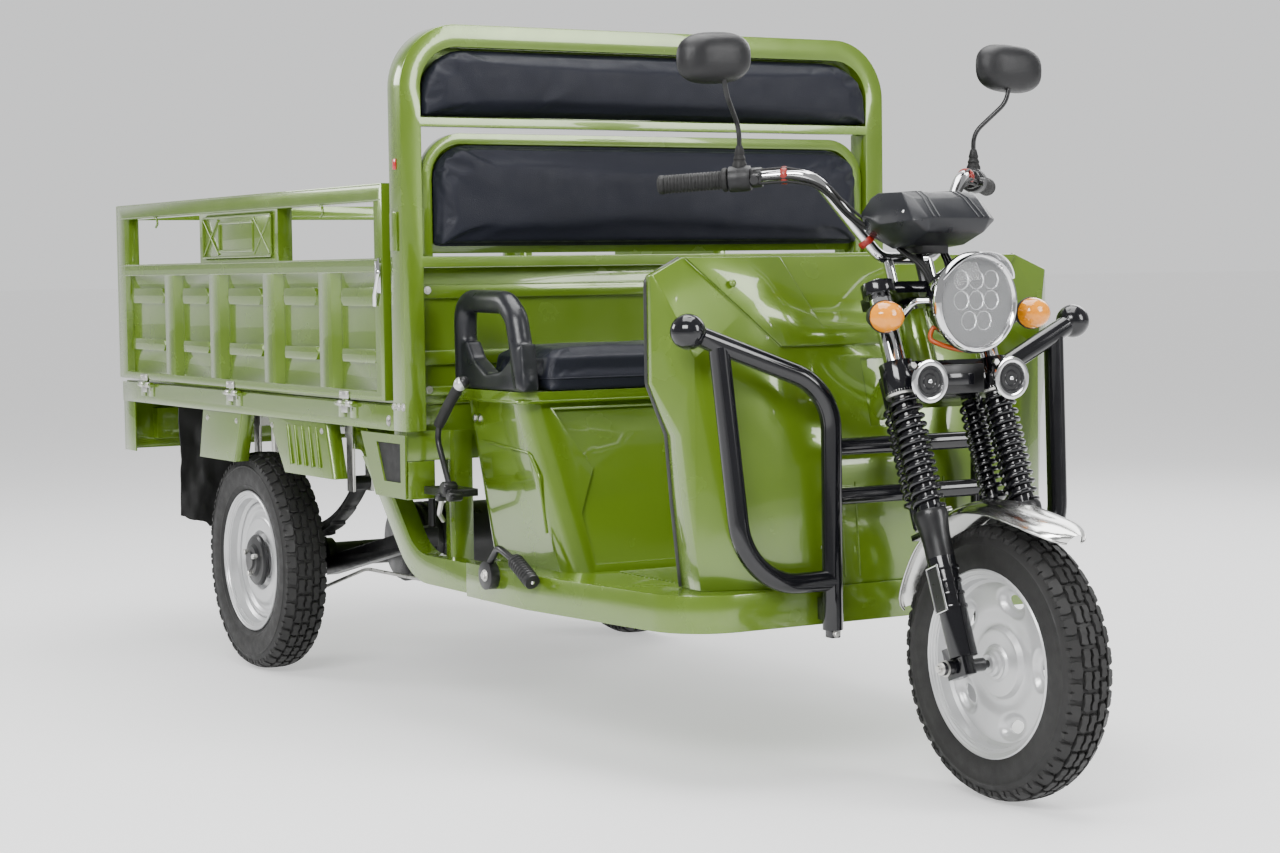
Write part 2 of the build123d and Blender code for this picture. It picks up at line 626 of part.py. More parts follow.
with BuildPart() as rear_axle:
    rod((REAR_AXLE_X, -DRUM_OUTER, REAR_TYRE_R), (REAR_AXLE_X, DRUM_OUTER, REAR_TYRE_R), AXLE_R)
    rod((REAR_AXLE_X, -75, REAR_TYRE_R), (REAR_AXLE_X, 110, REAR_TYRE_R), 78)
    rod((fwd(MOTOR_X), 60, MOTOR_Z), (fwd(MOTOR_X), 110, MOTOR_Z), 66)
    block((REAR_AXLE_X, 60, 225), (fwd(MOTOR_X), 110, 330))
    for side, sign in SIDES:
        rod((REAR_AXLE_X, sign * DRUM_INNER, REAR_TYRE_R), (REAR_AXLE_X, sign * DRUM_OUTER, REAR_TYRE_R), DRUM_R)
        rod((REAR_AXLE_X, sign * 430, REAR_TYRE_R), (REAR_AXLE_X, sign * 532, REAR_TYRE_R), STUB_R)
        block(
            (fwd(-30), sign * (SPRING_Y - 22), REAR_TYRE_R),
            (fwd(30), sign * (SPRING_Y + 22), REAR_TYRE_R + 48),
        )
save(rear_axle, "rear_axle")

with BuildPart() as drive_motor:
    rod((fwd(MOTOR_X), -235, MOTOR_Z), (fwd(MOTOR_X), 60, MOTOR_Z), MOTOR_R)
    for station in range(-225, -120, 21):
        rod((fwd(MOTOR_X), station, MOTOR_Z), (fwd(MOTOR_X), station + 9, MOTOR_Z), MOTOR_R + 6)
save(drive_motor, "drive_motor")

# Leaf springs: stepped leaves on a shallow arc over the axle, shackled in front
SPRING_EYE_Z = 425
SPRING_HALF = 285
LEAF_WIDTH = 40
LEAF = 8
SPRING_SAG_Z = REAR_TYRE_R + 48
LEAF_LENGTHS = (285, 215, 150, 90)

with BuildPart() as leaf_springs:
    for side, sign in SIDES:
        for index, reach in enumerate(LEAF_LENGTHS):
            rise = (SPRING_EYE_Z - SPRING_SAG_Z) * (reach / SPRING_HALF) ** 2
            base = SPRING_SAG_Z + LEAF * (len(LEAF_LENGTHS) - 1 - index)
            plane = side_plane(sign * SPRING_Y + LEAF_WIDTH / 2)
            with BuildSketch(plane) as leaf:
                with BuildLine():
                    ThreePointArc((fwd(-reach), base + rise), (fwd(0), base), (fwd(reach), base + rise))
                    Line((fwd(reach), base + rise), (fwd(reach), base + rise + LEAF))
                    ThreePointArc(
                        (fwd(reach), base + rise + LEAF),
                        (fwd(0), base + LEAF),
                        (fwd(-reach), base + rise + LEAF),
                    )
                    Line((fwd(-reach), base + rise + LEAF), (fwd(-reach), base + rise))
                make_face()
            extrude(leaf.sketch, amount=LEAF_WIDTH)
        for reach in (-SPRING_HALF, SPRING_HALF):
            eye_z = SPRING_EYE_Z + 3.5 * LEAF + 4
            start = (fwd(reach), sign * (SPRING_Y - LEAF_WIDTH / 2), eye_z)
            rod(start, (fwd(reach), sign * (SPRING_Y + LEAF_WIDTH / 2), eye_z), 17)
save(leaf_springs, "leaf_springs")

with BuildPart() as spring_hangers:
    eye_z = SPRING_EYE_Z + 3.5 * LEAF + 4
    for side, sign in SIDES:
        for face in (-1, 1):
            near = sign * SPRING_Y + face * (LEAF_WIDTH / 2)
            far = near + face * 6
            block((fwd(SPRING_HALF - 18), near, eye_z - 20), (fwd(SPRING_HALF + 18), far, 570))
            block((fwd(-SPRING_HALF - 18), near, eye_z - 20), (fwd(-SPRING_HALF + 18), far, 570))
        for reach in (-SPRING_HALF, SPRING_HALF):
            low_y = sign * (RAIL_Y + RAIL_WIDTH / 2)
            block((fwd(reach - 25), low_y, 565), (fwd(reach + 25), sign * (SPRING_Y + 26), RAIL_TOP))
save(spring_hangers, "spring_hangers")

with BuildPart() as trailing_arms:
    for side, sign in SIDES:
        start = (fwd(25), sign * ARM_Y, 236)
        end = (fwd(545), sign * ARM_Y, 350)
        run = Vector(*end) - Vector(*start)
        with BuildSketch(Plane(origin=start, x_dir=(0, 1, 0), z_dir=run)) as bar:
            Rectangle(30, 44)
        extrude(bar.sketch, amount=run.length)
        block((fwd(545 - 25), sign * (ARM_Y - 25), 330), (fwd(545 + 25), sign * (ARM_Y + 25), 372))
        block((fwd(545 - 14), sign * (ARM_Y - 25), 340), (fwd(545 + 14), sign * (ARM_Y - 19), 570))
        block((fwd(545 - 12), sign * (RAIL_Y + 20), 560), (fwd(545 + 12), sign * (ARM_Y - 19), 610))
        clamp = [(REAR_AXLE_X, sign * (ARM_Y + shift), REAR_TYRE_R) for shift in (-12, 12)]
        rod(*clamp, AXLE_R + 12)
    for side, sign in SIDES:
        clamp = [(REAR_AXLE_X, sign * (ARM_Y + shift), REAR_TYRE_R) for shift in (-40, 40)]
        rod(*clamp, AXLE_R, Mode.SUBTRACT)
save(trailing_arms, "trailing_arms")

with BuildPart() as brake_rods:
    for side, sign in SIDES:
        route = [(fwd(0), sign * 422, 160), (fwd(420), sign * 430, 272), (fwd(1110), sign * 430, 282)]
        bent_rod(route, [200], 4)
        block((fwd(-8), sign * 416, 156), (fwd(8), sign * 428, REAR_TYRE_R - DRUM_R))
        block((fwd(1090), sign * 424, 276), (fwd(1110), sign * 480, 300))
save(brake_rods, "brake_rods")

# Wheels: rim, disc, hub and tyre, each turned about its axle
RIM_HALF = 44


def wheel_plane(x, y, z):
    """Plane through a wheel's centre, whose sketches read radius to the right and width up."""
    return Plane(origin=(x, y, z), x_dir=(1, 0, 0), z_dir=(0, 0, 1))


def turn(sketch, x, y, z):
    """Revolve a half section about the wheel's own cross axis."""
    revolve(sketch, axis=Axis((x, y, z), (0, 1, 0)))


def tyre(x, y, z, outer, width):
    """Tyre ring: rounded tread, flat-sided beads on the rim."""
    half = width / 2
    with BuildSketch(wheel_plane(x, y, z)) as section:
        with BuildLine():
            Polyline(
                (BEAD_R, half - 10),
                (BEAD_R, half - 22),
                (outer - 24, half - 22),
                (outer - 24, 22 - half),
                (BEAD_R, 22 - half),
                (BEAD_R, 10 - half),
            )
            Line((BEAD_R, half - 10), (RIM_FLANGE_R, half - 10))
            ThreePointArc((RIM_FLANGE_R, half - 10), (outer - 42, half), (outer - 14, half - 9))
            ThreePointArc((outer - 14, half - 9), (outer, 0), (outer - 14, 9 - half))
            ThreePointArc((outer - 14, 9 - half), (outer - 42, -half), (RIM_FLANGE_R, 10 - half))
            Line((RIM_FLANGE_R, 10 - half), (BEAD_R, 10 - half))
        make_face()
    turn(section.sketch, x, y, z)


def rim(x, y, z, width, face, hub_r, hub_half, bore_r):
    """Steel rim well with a dished disc on the side given by face, and a hub round the bore."""
    half = width / 2 - 10
    well = 128
    with BuildSketch(wheel_plane(x, y, z)) as barrel:
        Polygon(
            (RIM_FLANGE_R, half),
            (RIM_FLANGE_R, half + 4),
            (BEAD_R - 4, half + 4),
            (BEAD_R - 4, 18),
            (well, 12),
            (well, -12),
            (BEAD_R - 4, -18),
            (BEAD_R - 4, -half - 4),
            (RIM_FLANGE_R, -half - 4),
            (RIM_FLANGE_R, -half),
            (BEAD_R, -half),
            (BEAD_R, -16),
            (well + 4, -9),
            (well + 4, 9),
            (BEAD_R, 16),
            (BEAD_R, half),
            align=None,
        )
    turn(barrel.sketch, x, y, z)
    with BuildSketch(wheel_plane(x, y, z)) as disc:
        Polygon(
            (well + 1, face * 4),
            (well + 1, face * 8),
            (118, face * 22),
            (80, face * 22),
            (68, face * 10),
            (hub_r - 2, face * 10),
            (hub_r - 2, face * 6),
            (70, face * 6),
            (82, face * 18),
            (116, face * 18),
            align=None,
        )
    turn(disc.sketch, x, y, z)
    with BuildSketch(wheel_plane(x, y, z)) as hub:
        with Locations(((hub_r + bore_r) / 2, 0)):
            Rectangle(hub_r - bore_r, 2 * hub_half)
    turn(hub.sketch, x, y, z)


for side, sign in SIDES:
    with BuildPart() as rear_tyre:
        tyre(REAR_AXLE_X, sign * TRACK_HALF, REAR_TYRE_R, REAR_TYRE_R, REAR_TYRE_WIDTH)
    save(rear_tyre, f"rear_tyre_{side}")
    with BuildPart() as rear_rim:
        rim(REAR_AXLE_X, sign * TRACK_HALF, REAR_TYRE_R, REAR_TYRE_WIDTH, sign, 45, 24, STUB_R + RUNNING_GAP)
    save(rear_rim, f"rear_rim_{side}")
    with BuildPart() as rear_hub_cap:
        cap = sign * (TRACK_HALF + 24)
        with BuildSketch(Plane(origin=(REAR_AXLE_X, cap, REAR_TYRE_R), z_dir=(0, sign, 0))) as lower:
            Circle(62)
        extrude(lower.sketch, amount=14)
        with BuildSketch(Plane(origin=(REAR_AXLE_X, cap + sign * 14, REAR_TYRE_R), z_dir=(0, sign, 0))) as upper:
            Circle(30)
        extrude(upper.sketch, amount=10)
        rod((REAR_AXLE_X, cap - sign, REAR_TYRE_R), (REAR_AXLE_X, cap + sign * 8, REAR_TYRE_R), 17, Mode.SUBTRACT)
    save(rear_hub_cap, f"rear_hub_cap_{side}")

FRONT_SPINDLE_R = 7
with BuildPart() as front_tyre:
    tyre(FRONT_AXLE_X, 0, FRONT_TYRE_R, FRONT_TYRE_R, FRONT_TYRE_WIDTH)
save(front_tyre, "front_tyre")

with BuildPart() as front_rim:
    rim(FRONT_AXLE_X, 0, FRONT_TYRE_R, FRONT_TYRE_WIDTH, -1, 36, 48, FRONT_SPINDLE_R + RUNNING_GAP)
    for number in range(5):
        angle = radians(72 * number + 90)
        centre = (FRONT_AXLE_X + 99 * cos(angle), 0, FRONT_TYRE_R + 99 * sin(angle))
        rod((centre[0], -30, centre[2]), (centre[0], -10, centre[2]), 14, Mode.SUBTRACT)
save(front_rim, "front_rim")

# Steered fork: clamps, stanchions, springs, sliders, dampers and what they carry
STANCHION_R = 20
SPRING_R = 31
SLIDER_R = 25
TOP_CLAMP = (930, 952)
LOW_CLAMP = (742, 800)
SPRING_SPAN = (524, 742)
SLIDER_SPAN = (262, 524)
SPRING_RIDGES = 13
INNER_HALF = 86
INNER_AHEAD = 0
DAMPER_FOOT = 500


def along_fork(ahead, across, low, high, radius, mode=Mode.ADD):
    """Round bar parallel to the steering axis."""
    rod(steer(ahead, across, low), steer(ahead, across, high), radius, mode)


def fork_block(low, high, mode=Mode.ADD):
    """Block square to the steering axis, between two corners given ahead, across and along."""
    with BuildSketch(STEER_PLANE.offset(low[2])) as section:
        with Locations(((low[0] + high[0]) / 2, (low[1] + high[1]) / 2)):
            Rectangle(high[0] - low[0], high[1] - low[1])
    extrude(section.sketch, amount=high[2] - low[2], mode=mode)


with BuildPart() as fork_clamps:
    for low, high in (TOP_CLAMP, LOW_CLAMP):
        fork_block((-30, -85, low), (FORK_OFFSET + 14, 85, high))
        for side, sign in SIDES:
            along_fork(FORK_OFFSET, sign * FORK_HALF, low, high, 31)
    for side, sign in SIDES:
        for low, high in (TOP_CLAMP, LOW_CLAMP):
            along_fork(FORK_OFFSET, sign * FORK_HALF, low - 1, high + 1, STANCHION_R, Mode.SUBTRACT)
    along_fork(0, 0, LOW_CLAMP[0], TOP_CLAMP[1] + 12, STEM_R)
    block((fwd(2018), -30, 728), (fwd(2056), 30, 748))
save(fork_clamps, "fork_clamps")

with BuildPart() as fork_stanchions:
    for side, sign in SIDES:
        along_fork(FORK_OFFSET, sign * FORK_HALF, SPRING_SPAN[0], TOP_CLAMP[1] + 4, STANCHION_R)
save(fork_stanchions, "fork_stanchions")

with BuildPart() as fork_springs:
    pitch = (SPRING_SPAN[1] - SPRING_SPAN[0] - 12) / SPRING_RIDGES
    for side, sign in SIDES:
        along_fork(FORK_OFFSET, sign * FORK_HALF, SPRING_SPAN[0], SPRING_SPAN[1], SPRING_R - 6)
        for ridge in range(SPRING_RIDGES + 1):
            base = SPRING_SPAN[0] + 2 + ridge * pitch
            along_fork(FORK_OFFSET, sign * FORK_HALF, base, base + 8, SPRING_R)
        along_fork(FORK_OFFSET, sign * FORK_HALF, SPRING_SPAN[0], SPRING_SPAN[1], STANCHION_R, Mode.SUBTRACT)
save(fork_springs, "fork_springs")

with BuildPart() as fork_sliders:
    for side, sign in SIDES:
        along_fork(FORK_OFFSET, sign * FORK_HALF, SLIDER_SPAN[0], SLIDER_SPAN[1], SLIDER_R)
        fork_block(
            (14, sign * FORK_HALF - 12, 230),
            (FORK_OFFSET + 10, sign * FORK_HALF + 12, 285),
        )
        lug_y = sorted((sign * (INNER_HALF - 14), sign * FORK_HALF))
        fork_block((INNER_AHEAD - 14, lug_y[0], DAMPER_FOOT - 10), (FORK_OFFSET, lug_y[1], DAMPER_FOOT))
        spindle_end = (FRONT_AXLE_X, sign * 140, FRONT_TYRE_R)
        rod((FRONT_AXLE_X, sign * 50, FRONT_TYRE_R), spindle_end, 12)
    rod((FRONT_AXLE_X, -132, FRONT_TYRE_R), (FRONT_AXLE_X, 132, FRONT_TYRE_R), FRONT_SPINDLE_R)
save(fork_sliders, "fork_sliders")

with BuildPart() as inner_dampers:
    for side, sign in SIDES:
        along_fork(INNER_AHEAD, sign * INNER_HALF, 540, LOW_CLAMP[0], 16)
        for ridge in range(9):
            base = 566 + ridge * 18
            along_fork(INNER_AHEAD, sign * INNER_HALF, base, base + 8, 24)
        foot_y = (sign * INNER_HALF - 12, sign * INNER_HALF + 12)
        fork_block((INNER_AHEAD - 12, foot_y[0], DAMPER_FOOT), (INNER_AHEAD + 12, foot_y[1], 540))
save(inner_dampers, "inner_dampers")

BAR_TUBE_R = 11
GRIP_R = 17
CLAMP_POINT = (fwd(1898), 60, 955)
BEND_POINT = (fwd(1840), 170, 1112)
CONTROL_POINT = (fwd(1762), 258, 1110)
GRIP_END = (fwd(1655), 378, 1096)


def mirrored(point):
    """The same point on the other side."""
    return (point[0], -point[1], point[2])


with BuildPart() as handlebar:
    left = [GRIP_END, BEND_POINT, CLAMP_POINT]
    bent_rod([*left, *[mirrored(point) for point in reversed(left)]], [70, 38, 38, 70], BAR_TUBE_R)
    for side, sign in SIDES:
        along_fork(25, sign * 45, TOP_CLAMP[1], 1013, 10)
save(handlebar, "handlebar")

MIRROR_FOOT_Z = 1134
GRIP_RUN = (Vector(*BEND_POINT) - Vector(*GRIP_END)).normalized()
with BuildPart() as grips_and_switches:
    for side, sign in SIDES:
        end = Vector(GRIP_END[0], sign * GRIP_END[1], GRIP_END[2])
        run = Vector(GRIP_RUN.X, sign * GRIP_RUN.Y, GRIP_RUN.Z)
        rod(end - run * 6, end + run * 118, GRIP_R)
        rod(end + run * 118, end + run * 124, GRIP_R + 5)
        rod(end + run * 124, end + run * 168, 24)
        boss = end + run * 146
        rod(boss, (boss.X, boss.Y, MIRROR_FOOT_Z), 9)
    for side, sign in SIDES:
        end = Vector(GRIP_END[0], sign * GRIP_END[1], GRIP_END[2])
        run = Vector(GRIP_RUN.X, sign * GRIP_RUN.Y, GRIP_RUN.Z)
        rod(end - run, end + run * 180, BAR_TUBE_R, Mode.SUBTRACT)
save(grips_and_switches, "grips_and_switches")

MIRROR = (1783, 337, 1320)
with BuildPart() as mirrors:
    for side, sign in SIDES:
        boss = Vector(*GRIP_END) + GRIP_RUN * 146
        foot = (boss.X, sign * boss.Y, MIRROR_FOOT_Z)
        knee = (boss.X, sign * boss.Y, 1215)
        head = (fwd(MIRROR[0] + 8), sign * (MIRROR[1] - 8), 1305)
        bent_rod([foot, knee, head], [40], 4.5)
        with BuildSketch(front_plane(fwd(MIRROR[0] - 12))) as glass:
            with Locations((sign * MIRROR[1], MIRROR[2])):
                Ellipse(74, 45)
        with BuildSketch(front_plane(fwd(MIRROR[0] + 24))) as back:
            with Locations((sign * MIRROR[1], MIRROR[2])):
                Ellipse(44, 24)
        loft([glass.sketch.face(), back.sketch.face()])
save(mirrors, "mirrors")

with BuildPart() as instrument_housing:
    with BuildSketch(Plane.XY.offset(985)) as skirt:
        with Locations((fwd(1968), 0)):
            RectangleRounded(130, 190, 18)
    with BuildSketch(Plane.XY.offset(1020)) as middle:
        with Locations((fwd(1962), 0)):
            RectangleRounded(150, 246, 30)
    with BuildSketch(Plane.XY.offset(1072)) as crown:
        with Locations((fwd(1948), 0)):
            RectangleRounded(96, 176, 26)
    loft([skirt.sketch.face(), middle.sketch.face(), crown.sketch.face()], ruled=True)
    block((fwd(1925), -30, 962), (fwd(1985), 30, 988))
    fork_block((50, -22, TOP_CLAMP[1]), (66, 22, 1012))
save(instrument_housing, "instrument_housing")

LAMP = (2107, 875)
with BuildPart() as headlamp:
    centre = (fwd(LAMP[0]), 0, LAMP[1])
    with BuildSketch(Plane(origin=centre, x_dir=(1, 0, 0), z_dir=(0, -1, 0))) as bowl:
        Polygon((0, 0), (0, 88), (-22, 88), (-30, 80), (-60, 70), (-84, 46), (-96, 0), align=None)
    revolve(bowl.sketch, axis=Axis(centre, (1, 0, 0)))
    for side, sign in SIDES:
        rod((fwd(2045), sign * 55, 878), steer(FORK_OFFSET, sign * 98, 868), 9)
    for side, sign in SIDES:
        along_fork(FORK_OFFSET, sign * FORK_HALF, 800, 960, STANCHION_R, Mode.SUBTRACT)
save(headlamp, "headlamp")

with BuildPart() as turn_signals:
    for side, sign in SIDES:
        with BuildSketch(front_plane(fwd(2052))) as back:
            with Locations((sign * 164, 853)):
                Ellipse(34, 28)
        with BuildSketch(front_plane(fwd(2088))) as lens:
            with Locations((sign * 164, 853)):
                Ellipse(26, 20)
        loft([back.sketch.face(), lens.sketch.face()])
        with BuildSketch(front_plane(fwd(2016))) as rear:
            with Locations((sign * 164, 853)):
                Ellipse(16, 14)
        loft([rear.sketch.face(), back.sketch.face()])
        rod((fwd(2030), sign * 160, 853), steer(FORK_OFFSET, sign * 112, 880), 8)
    for side, sign in SIDES:
        along_fork(FORK_OFFSET, sign * FORK_HALF, 800, 960, STANCHION_R, Mode.SUBTRACT)
save(turn_signals, "turn_signals")

HORN = (2088, 91, 738)
with BuildPart() as horns:
    for side, sign in SIDES:
        rod((fwd(HORN[0] - 22), sign * HORN[1], HORN[2]), (fwd(HORN[0]), sign * HORN[1], HORN[2]), 39)
    block((fwd(2056), -95, 728), (fwd(HORN[0] - 22), 95, 748))
save(horns, "horns")

FENDER_SHEET = 3
FENDER_HALF = 56
FENDER_TIP = (2377, 485)
FENDER_FRONT_MIDDLE = (2275, 516)
FENDER_CREST = (2166, 529)
FENDER_REAR_MIDDLE = (1985, 452)
FENDER_REAR_END = (1912, 318)


def fender_line(drop):
    """Stations of the fender's side line, lowered towards the wheel by a sheet's thickness."""
    stations = []
    for x, z in (FENDER_TIP, FENDER_FRONT_MIDDLE, FENDER_CREST, FENDER_REAR_MIDDLE, FENDER_REAR_END):
        spoke = Vector(FRONT_AXLE_X - fwd(x), FRONT_TYRE_R - z).normalized() * drop
        stations.append((fwd(x) + spoke.X, z + spoke.Y))
    return stations


with BuildPart() as front_fender:
    top = fender_line(0)
    low = fender_line(FENDER_SHEET)
    with BuildSketch(side_plane(FENDER_HALF)) as blade:
        with BuildLine():
            ThreePointArc(top[0], top[1], top[2])
            ThreePointArc(top[2], top[3], top[4])
            Line(top[4], low[4])
            ThreePointArc(low[4], low[3], low[2])
            ThreePointArc(low[2], low[1], low[0])
            Line(low[0], top[0])
        make_face()
    extrude(blade.sketch, amount=2 * FENDER_HALF)
    for side, sign in SIDES:
        stay = sorted((sign * (FENDER_HALF - 4), sign * (FORK_HALF - 4)))
        fork_block((INNER_AHEAD - 10, stay[0], DAMPER_FOOT - 15), (FORK_OFFSET - 26, stay[1], DAMPER_FOOT - 10))
        block((fwd(2056), sign * (FENDER_HALF - 4), 462), (fwd(2076), sign * FENDER_HALF, 505))
save(front_fender, "front_fender")

# Hand and foot controls beside the seat
with BuildPart() as gear_lever:
    bent_rod([(fwd(1096), -545, 500), (fwd(1030), -545, 618), (fwd(1150), -540, 722)], [40], 6)
    with Locations((fwd(1150), -540, 722)):
        Sphere(13)
    block((fwd(992), -555, 490), (fwd(1110), -POST_Y - POST_SIZE / 2, 505))
save(gear_lever, "gear_lever")

with BuildPart() as parking_lever:
    rod((fwd(1240), -545, 345), (fwd(1240), -FLOOR_HALF_REAR, 345), 28)
    bent_rod([(fwd(1240), -536, 366), (fwd(1290), -540, 405), (fwd(1362), -540, 384)], [30], 7)
    rod((fwd(1362), -540, 384), (fwd(1430), -540, 350), 15)
save(parking_lever, "parking_lever")

with BuildPart() as brake_pedal:
    block((fwd(1640), -210, FLOOR_TOP), (fwd(1665), -150, FLOOR_TOP + 20))
    rod((fwd(1652), -180, FLOOR_TOP + 12), (fwd(1600), -180, 450), 7)
    block((fwd(1575), -215, 445), (fwd(1612), -145, 458))
save(brake_pedal, "brake_pedal")

WALL_LATCH_X = 930
with BuildPart() as side_latches:
    for side, sign in SIDES:
        block(
            (fwd(HOOP_FRONT - 50), sign * HOOP_HALF, 985),
            (fwd(HOOP_FRONT - 20), sign * (HOOP_HALF + 5), 1065),
        )
save(side_latches, "side_latches")
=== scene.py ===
"""Looks of an electric cargo tricycle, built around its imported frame.

Every length is in metres. +X is forward, +Y is the rider's left and +Z is up.
"""

import json
import logging
import math
from dataclasses import dataclass, field
from enum import Enum

import bmesh
import bpy
from mathutils import Matrix, Vector
from mathutils import noise as mathutils_noise


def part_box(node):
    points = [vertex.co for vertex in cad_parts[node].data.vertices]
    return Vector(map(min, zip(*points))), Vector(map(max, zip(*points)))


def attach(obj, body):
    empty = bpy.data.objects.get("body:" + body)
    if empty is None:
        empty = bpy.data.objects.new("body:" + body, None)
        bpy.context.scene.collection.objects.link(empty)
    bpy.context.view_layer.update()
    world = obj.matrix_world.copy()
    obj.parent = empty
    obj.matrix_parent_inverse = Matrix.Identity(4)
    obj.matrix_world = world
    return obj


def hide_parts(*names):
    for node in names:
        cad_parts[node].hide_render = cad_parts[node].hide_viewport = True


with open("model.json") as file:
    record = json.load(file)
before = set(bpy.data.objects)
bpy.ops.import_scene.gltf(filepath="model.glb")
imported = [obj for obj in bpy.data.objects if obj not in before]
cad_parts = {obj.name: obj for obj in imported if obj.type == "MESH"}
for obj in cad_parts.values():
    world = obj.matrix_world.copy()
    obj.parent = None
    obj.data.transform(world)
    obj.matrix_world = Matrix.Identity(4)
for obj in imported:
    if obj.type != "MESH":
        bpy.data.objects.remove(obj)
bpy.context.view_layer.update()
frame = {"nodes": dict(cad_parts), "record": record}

log = logging.getLogger("cargo_tricycle")
Point = tuple[float, float, float]
REAR_AXLE_X = -0.824


def fwd(distance: float) -> float:
    """Station on X, from a distance forward of the rear axle."""
    return REAR_AXLE_X + distance


FRONT_AXLE = Vector((fwd(2.179), 0.0, 0.2445))
RAKE = math.radians(21)
STEER_FOOT = Vector((fwd(2.238), 0.0, 0.0))
FORK_AHEAD = 0.056
FORK_HALF = 0.105


def steer(ahead: float, across: float, along: float) -> Vector:
    """Point in the fork's own directions.

    Args:
        ahead: distance forward of the steering axis.
        across: distance to the rider's left.
        along: distance up the steering axis from the ground.

    Returns:
        The point in the vehicle's directions.
    """
    forward = Vector((math.cos(RAKE), 0, math.sin(RAKE)))
    upward = Vector((-math.sin(RAKE), 0, math.cos(RAKE)))
    return STEER_FOOT + forward * ahead + Vector((0, across, 0)) + upward * along


def hand(side: int) -> str:
    """Name of a side: left for 1, right for -1."""
    return "left" if side > 0 else "right"


class Body(Enum):
    """The bodies that pieces ride on."""

    CHASSIS = "chassis"
    STEERING = "steering"
    FRONT_WHEEL = "front_wheel"
    REAR_LEFT = "rear_wheel_left"
    REAR_RIGHT = "rear_wheel_right"
    WALL_LEFT = "drop_side_left"
    WALL_RIGHT = "drop_side_right"
    TAILGATE = "tailgate"
    SEAT = "seat_lid"


class Grain(Enum):
    """Kinds of surface relief."""

    NONE = "none"
    ORANGE_PEEL = "orange_peel"
    LEATHER = "leather"
    PEBBLE = "pebble"
    BRUSHED = "brushed"
    RUBBER = "rubber"


FLAKES_PER_METRE = 900
SMEARS_PER_PATCH = 3.5
RELIEF_DEPTH = 0.001


